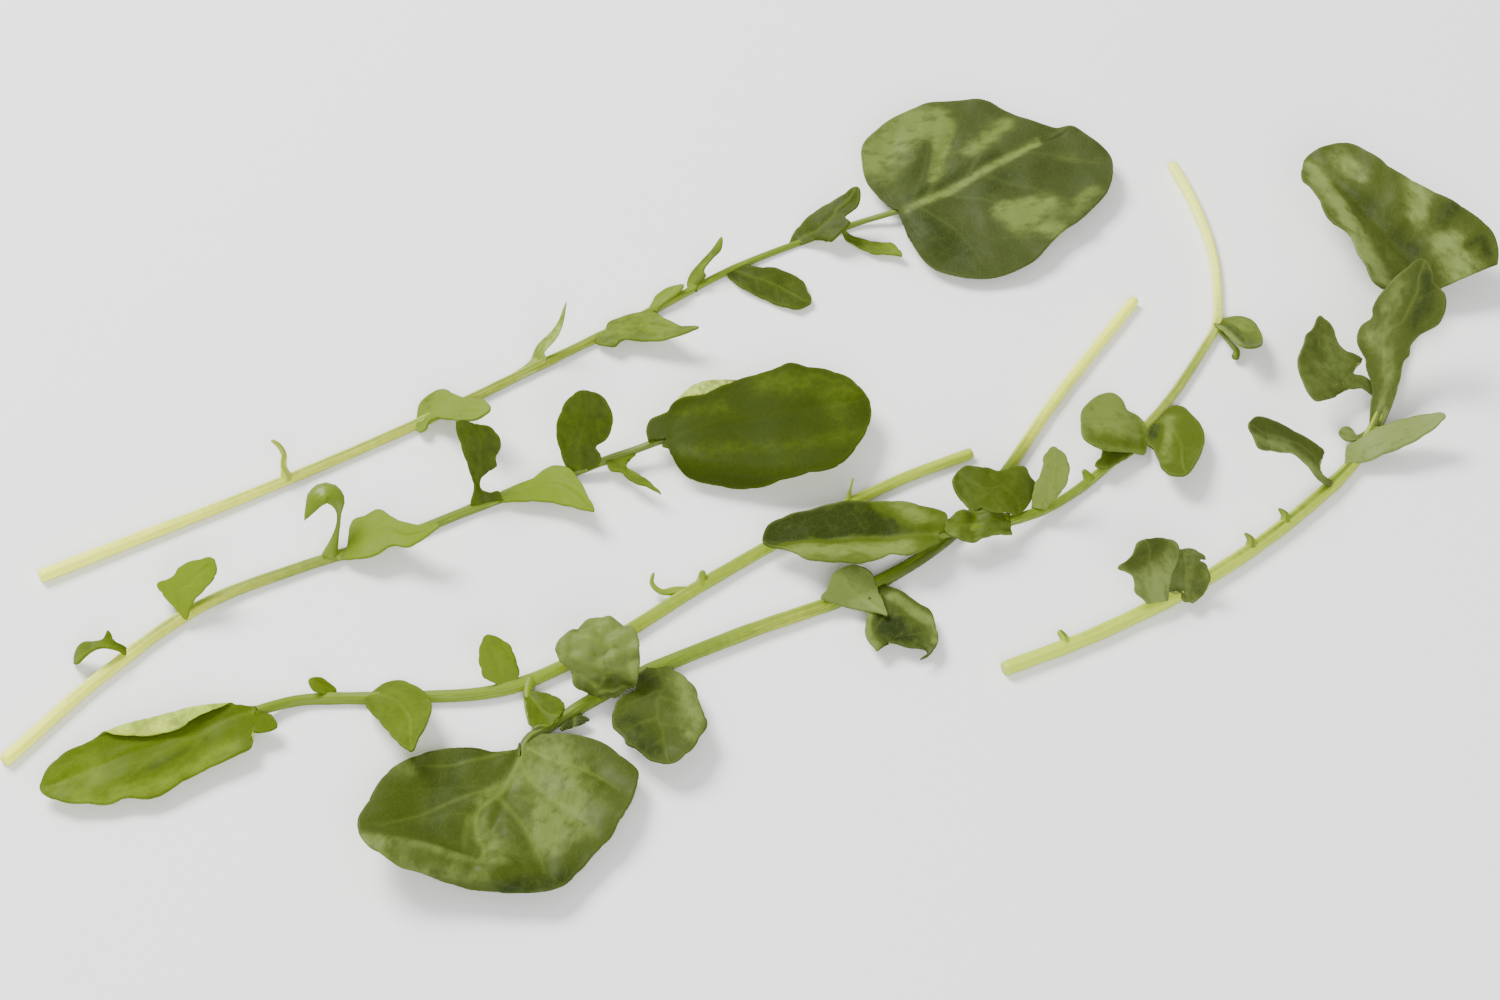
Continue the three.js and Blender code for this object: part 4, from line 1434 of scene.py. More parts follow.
def second_leaf() -> Leaf:
    """The leaf before it, with a smooth deep green oval terminal leaflet."""
    lobes = (Blade(
        Lie(14, 4, 8, (3, 2), (6, -6)), left=((5, -8.4), (7, -9.4), (9.9, -9.7), (12.8, -9.2)),
        tip=(14.5, -8.6), right=((4, -6.4), (8, -6.2), (12, -7.4)), base=((3.4, -7.2), (3.4, -6.6)),
        face=Face.UNDER, perch=0.85, crumple=0.1, tooth=0, rib_shown=0, side_veins=0,
    ),)
    terminal = Blade(
        Lie(14, 4, 8, (3, 2), (6, -6), hems=(Hem((0.3, 2.3), (26.7, 12.1), 3.5, -60, 2.2),)), perch=1.1,
        left=(
            (-2.8, -2.7), (-1.7, -4.5), (-0.3, -4.9), (1.5, -5.2), (2.2, -6.1), (3.7, -7.2),
            (7.8, -7.3), (13.3, -8.8), (17, -9.3), (20, -9.6), (23, -10.4), (26, -9), (29, -7.6),
            (32, -5),
        ),
        tip=(34, -0.5),
        right=(
            (-0.1, 2.3), (0, 3.8), (0.3, 5.6), (1.5, 8.5), (4.5, 10.5), (7, 12), (9.7, 13),
            (12.3, 13.3), (15, 13.1), (20, 13), (22.4, 13.1), (25.7, 12.8), (28.2, 10.9), (30.3, 8.4),
            (32.4, 5.5), (33.8, 2),
        ),
        base=((-3, -0.6), (-1.1, 1.4)), fan=0.2, lag=1.15, veins=(0.22, 0.36, 0.5, 0.64, 0.78),
        side_veins=0.14, rib_shown=0,
        traced=(Vein(((0, 1), (5.7, -0.8), (12.5, -1.1), (22.5, -0.5), (33, -0.3)), 0.35, 0.55),),
        ridge=0.08, valley=0.16, crumple=0.25, grain=9, teeth=10, tooth=0.22, wave=0.8, waves=3.5,
        streaks=(
            PaintedLightStroke(((18, -7), (26, -6), (31, -2)), 3.2, 0.16), PaintedLightStroke(((28, 1), (30, 7)), 2.5, 0.1),
            PaintedLightStroke(((2, 3.5), (9, 5), (18, 7), (27, 7.5)), 2.0, 0.12),
            PaintedLightStroke(((10, 1), (20, 2)), 1.5, -0.15), PaintedLightStroke(((3, 7), (12, 10), (24, 11)), 2.0, 0.03),
            PaintedLightStroke(((4, -4), (10, -4)), 2.0, 0.1),
        ),
    )
    leaflets = (
        (27, Blade(
            Lie(186, 75, 160), left=((1, -0.7), (4, -0.8), (6, -0.9), (8, -1.6), (10, -1.8)),
            tip=(12, 0),
            right=((1, 0.8), (3.4, 0.8), (4.3, 2.8), (5.2, 0.9), (6.5, 0.7), (8.5, 1.4), (10.5, 1.2)),
            base=((0, -0.9), (0, 0.9)), tone=ToneAndShade.LIGHT, crumple=0.1, tooth=0,
        )),
        (38, Blade(
            Lie(49, 35, heel=0),
            left=((0.3, -1.5), (1.3, -6), (2, -7), (4.6, -5.2), (6.1, -5.3), (8.5, -3.5)),
            tip=(10.4, -0.8), right=((1.7, 0.6), (3, 0.4), (6.8, 1), (8.7, 0.9)), tone=ToneAndShade.PALE,
            perch=0.9,
        )),
        (66.5, Blade(
            Lie(3, 20, heel=0),
            left=(
                (0.3, -1.6), (0.5, -4.6), (1.3, -6.7), (3.1, -6.7), (5.7, -7.3), (7.8, -5), (11.8, -2),
            ),
            tip=(16.1, -0.3), right=((-0.4, 1.1), (4.9, 2.3), (7.4, 1), (11, 2.1), (14.3, 1)),
            base=((-0.2, -1), (-0.6, 0.5)), tone=ToneAndShade.PALE, perch=1.1,
        )),
        (90, Blade(
            Lie(103, 50, heel=0), left=((1, -1.6), (2.9, -0.8), (4.4, -0.9), (10, -1.8), (13.9, -2)),
            tip=(14, -0.4),
            right=(
                (1.7, 3.1), (1.8, 1.6), (2.5, 0.3), (3.8, 0.3), (5, 1.5), (5.8, 3.4), (6.8, 3.4),
                (8.7, 4.5), (10.5, 4.5), (12.2, 3.3), (13.1, 0.8),
            ),
            base=((0.2, -1.8), (0.2, 3.4)), tone=ToneAndShade.MIDDLING, perch=0.9,
        )),
        (93.5, Blade(
            Lie(-21, 10),
            left=(
                (-0.7, -1), (3, -4.6), (4.6, -7.2), (5.9, -8.4), (8.2, -8.4), (10.8, -6.7), (13, -4.4),
            ),
            tip=(16.3, -0.3), right=((1.8, 0.8), (8.3, -0.8), (11.9, -0.7), (14.8, -0.2)),
            tone=ToneAndShade.PALE, perch=0.6,
        )),
        (107.5, Blade(
            Lie(89, 45, heel=0),
            left=((0.1, -2.4), (4.8, -4), (6.6, -4.2), (9.5, -3.4), (11.1, -2.5), (12.5, -0.9)),
            tip=(12.8, 0.3),
            right=(
                (0.5, 2.8), (2.2, 3.1), (3.1, 2.5), (3.6, 2.3), (4.1, 3.1), (5.2, 4.2), (7.5, 5),
                (10.7, 4.2), (12.3, 2.4),
            ),
            base=((-0.5, -1.5), (0, 0.7)), tone=ToneAndShade.MIDDLING, perch=1,
        )),
        (112.5, Blade(
            Lie(-45, 5), left=((1, -2), (2.3, -3.5), (2.6, -1), (3.9, -0.4), (7.4, -0.6), (10, -0.3)),
            tip=(12, 0.2), right=((1.8, 1.9), (3.4, 1.1), (6.3, 1.3), (9.3, 0.4)), tone=ToneAndShade.LIGHT,
            perch=0.4, crumple=0.1,
        )),
    )
    return Leaf(
        number=2,
        route=(
            (-114, -54, 0), (-101, -37.5, 0), (-86.5, -23, 0), (-71.5, -15, 0), (-56, -8.5, 0),
            (-40, 0, 0), (-29, 5, 0.3), (-13.5, 10.2, 3),
        ),
        radii=(1.05, 1, 0.95, 0.82, 0.8, 0.6), greens=(0.03, 0.3, 0.6, 0.85, 1.0, 1.15, 1.5),
        lobes=lobes, terminal=terminal, leaflets=leaflets,
        spurs=(Spur(
            63.5,
            (
                (0, 0, 0), (1, 2.2, 2.4), (1.6, 4.4, 4.5), (1.3, 6.4, 6.6), (-0.3, 7.3, 7.5),
                (-1.9, 6.7, 6.9), (-2.7, 5.8, 5.9), (-3.9, 4.2, 4.3),
            ),
            (1.35, 0.8, 0.4, 0.45, 1.7, 2.2, 1.2, 0.25), flat=0.3, green=0.35,
        ),),
        blade_finish=BladeFinish(
            "second_blade", deep=(0.013, 0.023, 0.001), body=(0.026, 0.041, 0.0014),
            light=(0.125, 0.185, 0.008), vein=(0.07, 0.1, 0.008), under=(0.55, 0.68, 0.12), blotch=0.2,
            broken=1.4, wet=0.05,
        ),
        stalk_finish=StalkFinish("second_stalk", CREAM, (0.11, 0.165, 0.007), STALK_DARK),
    )


def third_leaf() -> Leaf:
    """The leaf that points left at the front, with a folded rim on its narrow terminal leaflet."""
    terminal = Blade(
        Lie(-155, 2, 6, (-2, 6), (-4, 8), hems=(Hem((1, 1.7), (34, 4.4), 1, 178, 1.6),)), perch=1.2,
        left=(
            (-2, -4), (1.3, -4), (1.9, -3.6), (3.2, -6.2), (7.7, -6.8), (12.8, -7.4), (16.2, -8.1),
            (20, -8.7), (23.4, -7.1), (26.3, -6.8), (29.3, -5.5), (32.8, -3.4),
        ),
        tip=(35, 0),
        right=(
            (1, 1.4), (2.3, 2.3), (4, 3.6), (6, 4.8), (8.2, 5.8), (10.9, 7.7), (14, 8.5), (18, 8),
            (21, 6.8), (24.3, 4.9), (27, 4.7), (30, 4.2), (33, 2.6),
        ),
        base=((-2, -1.5), (-0.4, 0.9)), fan=0.16, lag=1.15, veins=(0.24, 0.37, 0.5, 0.64, 0.78),
        side_veins=0.14, rib_shown=0,
        traced=(
            Vein(((0, 0), (5.2, -0.1), (9.6, -0.9), (18.1, -1.8), (26.1, -1.5), (34.3, 0.1)), 0.6, 0.5),
            Vein(((11, -1), (17, 1), (23.2, 1.8)), 0.4), Vein(((8, -0.7), (13, -4), (17, -7)), 0.4),
            Vein(((17, -1.7), (22, -4), (26, -6)), 0.4),
        ),
        ridge=0.12, valley=0.25, crumple=0.2, grain=6, teeth=9, tooth=0.2, wave=0.2, waves=4,
        streaks=(
            PaintedLightStroke(((6, -5), (14, -6.5), (24, -6.5), (30, -4.5)), 1.8, 0.4),
            PaintedLightStroke(((3, 0), (8, 1.5)), 2.0, -0.2), PaintedLightStroke(((9, -2), (16, -3.5), (22, -4)), 0.8, -0.4),
            PaintedLightStroke(((26, 0), (33, 0)), 3.5, 0.3),
        ),
    )
    leaflets = (
        (89, Blade(
            Lie(112, 40, heel=0), left=((1.3, -1.5), (2.5, -2.9), (4, -3), (5.4, -2.9), (7.6, -2)),
            tip=(8.9, -0.5), right=((1.4, 2.5), (4.2, 2.7), (6.2, 2.5), (7.5, 1.5)), tone=ToneAndShade.PALE,
            perch=0.3,
        )),
        (86, Blade(
            Lie(-35, 8), left=((2.4, 1), (4.3, 0.4), (6.2, 0.1), (8.1, 0.5)), tip=(9.2, 3),
            right=((3.1, 3.7), (5.4, 6), (6.9, 6.9), (8.6, 6.2)), base=((1.2, 1.2), (1.5, 2.2)),
            tone=ToneAndShade.DARK,
        )),
        (110.5, Blade(
            Lie(-61, 20),
            left=(
                (-2.2, -3.9), (-1, -6), (1.9, -7.3), (7, -7.6), (9.9, -6.5), (13.8, -3.6), (16.5, -1.2),
            ),
            tip=(18.3, 0.4), right=((2.4, 1.2), (5.4, 1.1), (9.7, 1), (15.2, 1.1)),
            base=((-1.5, -1.4), (0.6, 0.7)), tone=ToneAndShade.MIDDLING, perch=1.2,
        )),
        (116, Blade(
            Lie(151, 35), left=((1.5, -0.6), (3.2, -1.3)), tip=(4.8, -0.4),
            right=((0.5, 1.6), (2.2, 1.5), (3.6, 1.2)), base=((0, -0.6), (0, 1)), tone=ToneAndShade.LIGHT,
            crumple=0.1, tooth=0,
        )),
    )
    return Leaf(
        number=3,
        route=(
            (36, 9.5, 0), (24, 3.5, 0), (8, -7, 0), (-8, -19, 0), (-23.5, -31.5, 0), (-38.5, -40, 0),
            (-54, -41.5, 0), (-69.5, -42, 0), (-76, -45, 1.2),
        ),
        radii=(0.9, 0.95, 1.05, 1.05, 0.95, 0.85), greens=(0.25, 0.45, 0.6, 0.6, 0.8, 1.1, 1.2),
        terminal=terminal, leaflets=leaflets,
        spurs=(
            Spur(23, ((0, 0, 0), (0.1, 1.2, 1.2), (0.4, 2, 2.2), (0.7, 2.9, 3.1)), (0.8, 0.25, 0.18)),
            Spur(52.3, ((0, 0, 0), (0.2, 0.9, 0.9), (0.3, 1.6, 1.9)), (1.1, 0.7, 0.5)),
            Spur(
                54.5, ((0, 0, 0), (-2.4, 0, 0.2), (-4.6, -0.4, 0.6), (-6, 0.9, 1.2), (-5.7, 2.4, 2)),
                (0.9, 0.8, 0.5, 0.4, 0.25),
            ),
            Spur(
                85, ((0, 0, 0), (-0.4, -2.5, 0), (-0.3, -5.5, 0), (0.4, -9, 0)), (1.1, 0.6, 0.45, 0.4),
            ),
        ),
        blade_finish=BladeFinish(
            "third_blade", deep=(0.036, 0.057, 0.0008), body=(0.06, 0.092, 0.001),
            light=(0.118, 0.172, 0.01), vein=(0.18, 0.25, 0.02), under=(0.44, 0.57, 0.04), wet=0.05,
        ),
        stalk_finish=StalkFinish("third_stalk", PALE_GREEN, (0.125, 0.185, 0.005), STALK_DARK),
    )


def fourth_leaf() -> Leaf:
    """The leaf in the middle, which ends at the front in a broad, crinkled terminal leaflet."""
    terminal = Blade(
        Lie(
            -103, 6, 8, (0, 6), (0, 2), hems=(Hem((27.5, -7), (29, 19), 1.6, -73),),
            dents=(Dent((27, 6), (3.5, 13), 3.2), Dent((15, 10), (7, 6), -1.0)),
        ),
        perch=1.3,
        left=(
            (-3.4, -4.4), (-3.8, -8.5), (-2.8, -12.2), (-1.3, -15.1), (2, -19), (6.7, -19.4), (11, -19),
            (12, -18.5), (15, -18), (18.3, -16.3), (21.7, -15), (25, -13.4), (27.6, -10.6),
            (29.2, -7.2), (30.3, -3.7),
        ),
        tip=(31.1, 0),
        right=(
            (1.6, 0.6), (3.2, 3.8), (3.6, 7), (4.3, 10), (5.7, 12.7), (8, 15), (11.2, 17.5), (15, 18.5),
            (19, 19), (24, 19), (27.5, 16), (29, 11.6), (30.3, 7.7), (31, 4),
        ),
        base=((-2.6, -0.6), (-0.2, 0.3)), hub=(3, -0.6), fan=0.24, lag=1.1,
        veins=(0.44, 0.58, 0.72, 0.86), side_veins=0.12, rib_shown=0,
        traced=(
            Vein(
                (
                    (0, 0), (3, -0.8), (9, 0.2), (12.5, 1.6), (15.3, 2.7), (18.6, 1.8), (22, -0.2),
                    (25, -1),
                ),
                0.9, 0.5,
            ),
            Vein(
                ((1, -0.5), (4.5, -1.3), (7.8, -5), (10, -8.7), (11.6, -12.2), (14.5, -15)), 0.9, 0.45,
            ),
            Vein(((0.5, -1.5), (1.9, -5.5), (2.5, -9), (3.6, -13.3), (5.8, -17)), 0.7, 0.45),
            Vein(((11, 0.6), (15.5, -4.2), (20, -8), (23.5, -10)), 0.6, 0.45),
            Vein(((16.2, 3.7), (19.1, 3.4), (22.7, 2.7)), 0.4, 0.6),
            Vein(((2.5, 1.5), (5, 5), (7.5, 9.5), (9, 13.5)), 0.45),
            Vein(((9, 1), (14, 7), (19, 12), (23, 16)), 0.45),
        ),
        ridge=0.18, valley=0.5, crumple=0.5, grain=6.5, teeth=9, tooth=0.25, wave=0.8, waves=4,
        streaks=(
            PaintedLightStroke(((26.4, 17), (25.6, 8.8), (25.2, 2.7), (24.3, -3.2)), 1.3, 0.3),
            PaintedLightStroke(((28.5, -2), (29.5, 8), (28, 16)), 1.8, 0.3),
            PaintedLightStroke(((1, -5), (7, -9), (14, -10)), 5.5, 0.45),
            PaintedLightStroke(((20, -15), (26, -11), (29, -5)), 2.5, -0.35),
            PaintedLightStroke(((5, 8), (12, 9), (19, 8)), 4.5, -0.2), PaintedLightStroke(((7, 13), (10, 15)), 2.5, 0.3),
            PaintedLightStroke(((17, 2.5), (21, -1)), 2.4, 0.35), PaintedLightStroke(((6, -3), (9, 1.5), (13, 3)), 1.4, 0.3),
            PaintedLightStroke(((13, -7), (19, -9)), 2.0, 0.25),
        ),
    )
    leaflets = (
        (81.5, Blade(
            Lie(130, 20, heel=-8),
            left=(
                (-5.4, -0.1), (-4, -0.9), (-1.9, -2), (-0.5, -2.9), (2.6, -5.1), (3, -3.4), (4.3, -1.7),
            ),
            tip=(4.7, 0.3),
            right=((-4.7, 2), (-2.2, 3.1), (0.1, 4.3), (1.6, 4.5), (3, 3.9), (4.2, 2.4)),
            base=((-7.1, 0.4), (-7.1, 0.7)), tone=ToneAndShade.PALE, perch=1.4,
        )),
        (77, Blade(
            Lie(-74, 10, 14),
            left=(
                (1.6, -1.1), (3, -2.3), (4.6, -3.5), (6.9, -4.7), (8.4, -5.9), (11.3, -5.8),
                (14.5, -5.3), (16.3, -4.2), (17.3, -2.7),
            ),
            tip=(17.7, -1.3),
            right=(
                (3.5, 2.8), (6.4, 3.7), (8.1, 4.7), (9.7, 5.2), (11.5, 5.3), (13.5, 5), (14.4, 4.7),
                (13.8, 3.7), (13.1, 2.6), (14.9, -0.2), (15.8, -2.5), (16.7, -2.8),
            ),
            base=((0.2, -0.8), (0.4, 1)), tone=ToneAndShade.DARK, perch=0.2, rib_shown=0, crumple=0.4,
            streaks=(
                PaintedLightStroke(((4.3, -1.1), (8.6, -3.7), (11.3, -5.3), (14.8, -4.8)), 1.5, 0.7),
                PaintedLightStroke(((6.8, 3.7), (10.5, 4.9), (13.8, 4.5)), 1.0, 0.9),
                PaintedLightStroke(((9.2, 1.8), (12, -0.2)), 2.2, -0.4),
            ),
        )),
        (127, Blade(
            Lie(88, 85, 106), left=((1.9, -3), (4.5, -4.1), (7.1, -6.3), (9, -6.3), (11.7, -3.8)),
            tip=(14.3, -0.3), right=((1.2, 4), (3, 6.2), (5, 6.5), (7.4, 6.6), (10, 6.3), (12.8, 4.5)),
            base=((0.8, -1), (0, 0.8)), tone=ToneAndShade.PALE, perch=1.0, crumple=0.8, grain=2.6, side_veins=1,
            streaks=(PaintedLightStroke(((1, -2), (2, 1), (2.5, 5)), 2.2, -0.5),),
        )),
        (117, Blade(
            Lie(-84, 14, 16, heel=0),
            left=(
                (0.3, -3.4), (2.6, -5.2), (5.6, -6.5), (8.9, -6.8), (13, -7.5), (15.9, -6.1),
                (18.5, -4.3),
            ),
            tip=(20.3, -1),
            right=(
                (2.1, 2.4), (4.5, 2.7), (5.7, 4.7), (7.8, 6.4), (10.3, 6.9), (12.5, 6.8), (14.7, 5.4),
                (15.9, 5.2), (17.7, 3.2), (19.4, 1.6),
            ),
            base=((-1.4, -2.4), (-2, -0.3)), perch=1.4, crumple=0.45, teeth=6, tooth=0.25,
            rib_shown=0.25,
            streaks=(
                PaintedLightStroke(((3, -4), (9, -5.5), (15, -5)), 2.0, 0.4),
                PaintedLightStroke(((11, 4), (17, 2)), 2.6, -0.35),
            ),
        )),
        (131, Blade(
            Lie(-80, 4), left=((1.6, -0.8), (2.5, -1.7)), tip=(3.2, 0.2), right=((2, 1.8), (3.9, 3.1)),
            base=((0.4, -0.6), (0.4, 0.6)), tone=ToneAndShade.DEEP,
        )),
    )
    return Leaf(
        number=4,
        route=(
            (64.5, 44, 0), (50, 21, 0), (40, 3, 0), (31, -9.5, 0), (17.5, -20, 0), (-1.5, -29, 0),
            (-20, -39, 0), (-35, -50.9, 0.6),
        ),
        radii=(0.9, 0.9, 0.95, 1.05, 1.15, 1.15, 0.85),
        greens=(0.05, 0.2, 0.4, 1.45, 1.75, 0.8, 0.9, 1.2, 1.9), terminal=terminal, leaflets=leaflets,
        spurs=(Spur(137, ((0, 0, 0), (-1, -0.2, 0.4), (-1.9, -0.8, 0.6)), (0.9, 0.7, 0.5)),),
        blade_finish=BladeFinish(
            "fourth_blade", deep=(0.012, 0.021, 0.0008), body=(0.036, 0.054, 0.003),
            light=(0.115, 0.155, 0.032), vein=(0.15, 0.21, 0.03), under=(0.12, 0.16, 0.03),
            veining=0.55,
        ),
        stalk_finish=StalkFinish("fourth_stalk", CREAM, (0.105, 0.165, 0.004), STALK_DARK),
    )


def fifth_leaf() -> Leaf:
    """The leaf that starts at the back right and ends, cupped, in the middle of the bunch."""
    terminal = Blade(
        Lie(182, -2, 0, (14, 16), (4, 6)), perch=1.15,
        left=(
            (4.5, -5), (8, -4.3), (9.4, -5.1), (12, -6.4), (14.7, -6.5), (17.4, -5.9), (21, -5.2),
            (22.7, -3.9), (24.5, -2.2),
        ),
        tip=(28, 0),
        right=(
            (-1.5, 3.4), (2.7, 5), (5.8, 5.9), (10.5, 6.1), (14.7, 6.3), (17.4, 5.9), (21, 5.1),
            (24, 4.5), (27.2, 2.8),
        ),
        base=((0, -2), (-1, 0.5)), fan=0.1, lag=1.15, veins=(0.25, 0.38, 0.52, 0.66, 0.8),
        side_veins=0.2, rib_shown=0,
        traced=(
            Vein(((0, -0.3), (6.2, -0.3), (12.5, 0.1), (17.3, -0.2), (22, -0.6), (28, 0)), 0.7, 0.4),
            Vein(((14.2, -1.9), (19.1, -4.3)), 0.4), Vein(((8, -0.5), (12, -4)), 0.4),
        ),
        ridge=0.12, valley=0.2, grain=6, teeth=8, tooth=0.15, wave=0.3,
        streaks=(
            PaintedLightStroke(((8, 1.6), (16, 1.4), (27, 0.8)), 1.8, -0.6),
            PaintedLightStroke(((10, 4), (18, 4.2), (27, 2.5)), 2.7, -0.6),
            PaintedLightStroke(((3, 3), (6, 4.6), (9, 5.2)), 1.8, 0.45), PaintedLightStroke(((-1, 2.4), (2.8, 2.6)), 1.4, 0.2),
            PaintedLightStroke(((6, -3), (14, -3.5), (23, -2.5)), 2.2, 0.5), PaintedLightStroke(((2, 1), (7, 0.8)), 1.2, -0.3),
        ),
    )
    leaflets = (
        (38.2, Blade(
            Lie(-39, 14, 0, (-4, 24)),
            left=((1.9, -2.7), (4.6, -3.1), (8.1, -1), (10.4, 1.7), (11, 5.2)), tip=(10.3, 6.5),
            right=((1.6, 2.2), (4.2, 3.6), (7.4, 5.3)), base=((0, -0.9), (-0.4, 0.9)),
            tone=ToneAndShade.MIDDLING, perch=0.3, rib_shown=0, tooth=0.05,
            streaks=(
                PaintedLightStroke(((0.5, 0.3), (5, 2.2), (9.5, 5)), 0.7, -0.5),
                PaintedLightStroke(((1.5, 1.8), (4.5, 3.4), (8, 5.5)), 0.9, 0.6),
                PaintedLightStroke(((3, -2), (8, 0)), 1.6, 0.15),
            ),
        )),
        (67.8, Blade(
            Lie(-177, 27, heel=0),
            left=((-0.5, -3.9), (1.8, -4.3), (7.4, -5.7), (9.4, -5.3), (11, -4.2)), tip=(11.2, -1.6),
            right=(
                (-1.3, 2.7), (-0.3, 4.4), (1.9, 4.9), (2.5, 6.5), (4.1, 7.5), (5.9, 7), (8.6, 4.7),
                (10.4, 2),
            ),
            base=((-1, -2.4), (-1.6, 1.1)), tone=ToneAndShade.PALE, perch=1.2, tooth=0.08,
            streaks=(
                PaintedLightStroke(((0, -2.5), (5, -3.5), (9, -4)), 2.4, -0.5),
                PaintedLightStroke(((-1, 0), (0, 3)), 1.5, -0.3),
            ),
        )),
        (64.5, Blade(
            Lie(-60, 10, heel=0),
            left=((-1.4, -5.4), (-0.1, -6.7), (1.9, -6.7), (5.7, -6.3), (8.5, -4.9), (10.4, -3.1)),
            tip=(14.3, 2.7), right=((4.4, 3.4), (5.8, 3.3), (8.1, 3.9), (10.4, 4.7), (12.9, 4.6)),
            base=((-0.4, -2.2), (1.1, 1)), perch=1.2, tooth=0.08,
            streaks=(
                PaintedLightStroke(((1, -3), (5, 0), (9, 3)), 1.2, 0.35), PaintedLightStroke(((1.5, 0), (3.5, 2)), 1.2, -0.5),
            ),
        )),
        (70, Blade(
            Lie(-120, 10), left=((2, -1.4), (5.5, -0.5), (8.4, 0.9)), tip=(8.6, 2.5),
            right=((3.8, 3.3), (6.1, 2.6)), base=((0.5, -1), (1, 2)), tone=ToneAndShade.MIDDLING, perch=0.7,
            rib_shown=0, crumple=0.15,
        )),
        (92.4, Blade(
            Lie(70, 42, heel=0), left=((3.7, -1.7), (6.5, -1.2), (8.9, -1.5), (10.5, -0.7)),
            tip=(10.8, -0.3),
            right=((1.5, 1.4), (3.3, 2.4), (4.9, 3.1), (7.1, 3.2), (8.5, 2.8), (10, 1.7)),
            base=((0.3, -1.3), (0.6, 1.2)), tone=ToneAndShade.PALE, perch=0.9,
        )),
        (96, Blade(
            Lie(160, 40, heel=0),
            left=((2.9, -1.4), (4.7, -3), (7.1, -3.8), (8.4, -5.4), (11.4, -5.1), (13.5, -4)),
            tip=(13.7, -2.1),
            right=(
                (-0.3, 2.7), (-0.6, 5.5), (-0.2, 7.7), (1.5, 8), (3, 8.7), (6.2, 5.6), (7.1, 4.4),
                (8.8, 3.8), (11, 2.1), (12.8, 0.5),
            ),
            base=((1.2, -0.4), (0, 1.6)), tone=ToneAndShade.MIDDLING, perch=1, crumple=0.4,
        )),
        (99.5, Blade(
            Lie(184, 8), left=((2.3, -2.7), (4.9, -3.9), (8.1, -3.6)), tip=(9.5, -2),
            right=((2.6, 2.6), (5.8, 2.4), (8.5, 0.6)), base=((-1.5, -2), (-1.5, 2.2)),
            tone=ToneAndShade.MIDDLING, perch=1.2, crumple=0.8, grain=3,
        )),
    )
    return Leaf(
        number=5,
        route=(
            (73, 76.5, 0), (76.5, 65.5, 0), (78.5, 54, 0), (78.4, 42, 0), (77.8, 38, 0), (75.4, 33, 0),
            (69, 21.5, 0), (59.5, 8.5, 0), (48.5, -2.3, 0.5), (37, -8.8, 2.7), (30, -10.3, 2.9),
        ),
        radii=(0.94, 0.8, 0.76, 0.8, 0.8, 0.8), greens=(0.0, 0.08, 0.2, 0.65, 0.72, 0.85, 0.95, 1.05),
        terminal=terminal, leaflets=leaflets,
        spurs=(
            Spur(
                39.5, ((0, 0, 0.2), (2.2, -4.2, 0.4), (3, -5.8, 0.4), (2.6, -7.6, 0.3)),
                (0.4, 0.3, 0.45, 0.75), green=1.2,
            ),
            Spur(81, ((0, 0, 0), (-0.5, 0.7, 0.8), (-1.1, 1.2, 1.4)), (1.1, 0.7, 0.4)),
        ),
        blade_finish=BladeFinish(
            "fifth_blade", deep=(0.018, 0.029, 0.0008), body=(0.052, 0.078, 0.0015),
            light=(0.135, 0.182, 0.032), vein=(0.15, 0.21, 0.03), under=(0.14, 0.18, 0.035),
        ),
        stalk_finish=StalkFinish("fifth_stalk", (0.88, 0.97, 0.16), (0.1, 0.155, 0.005), STALK_DARK),
    )


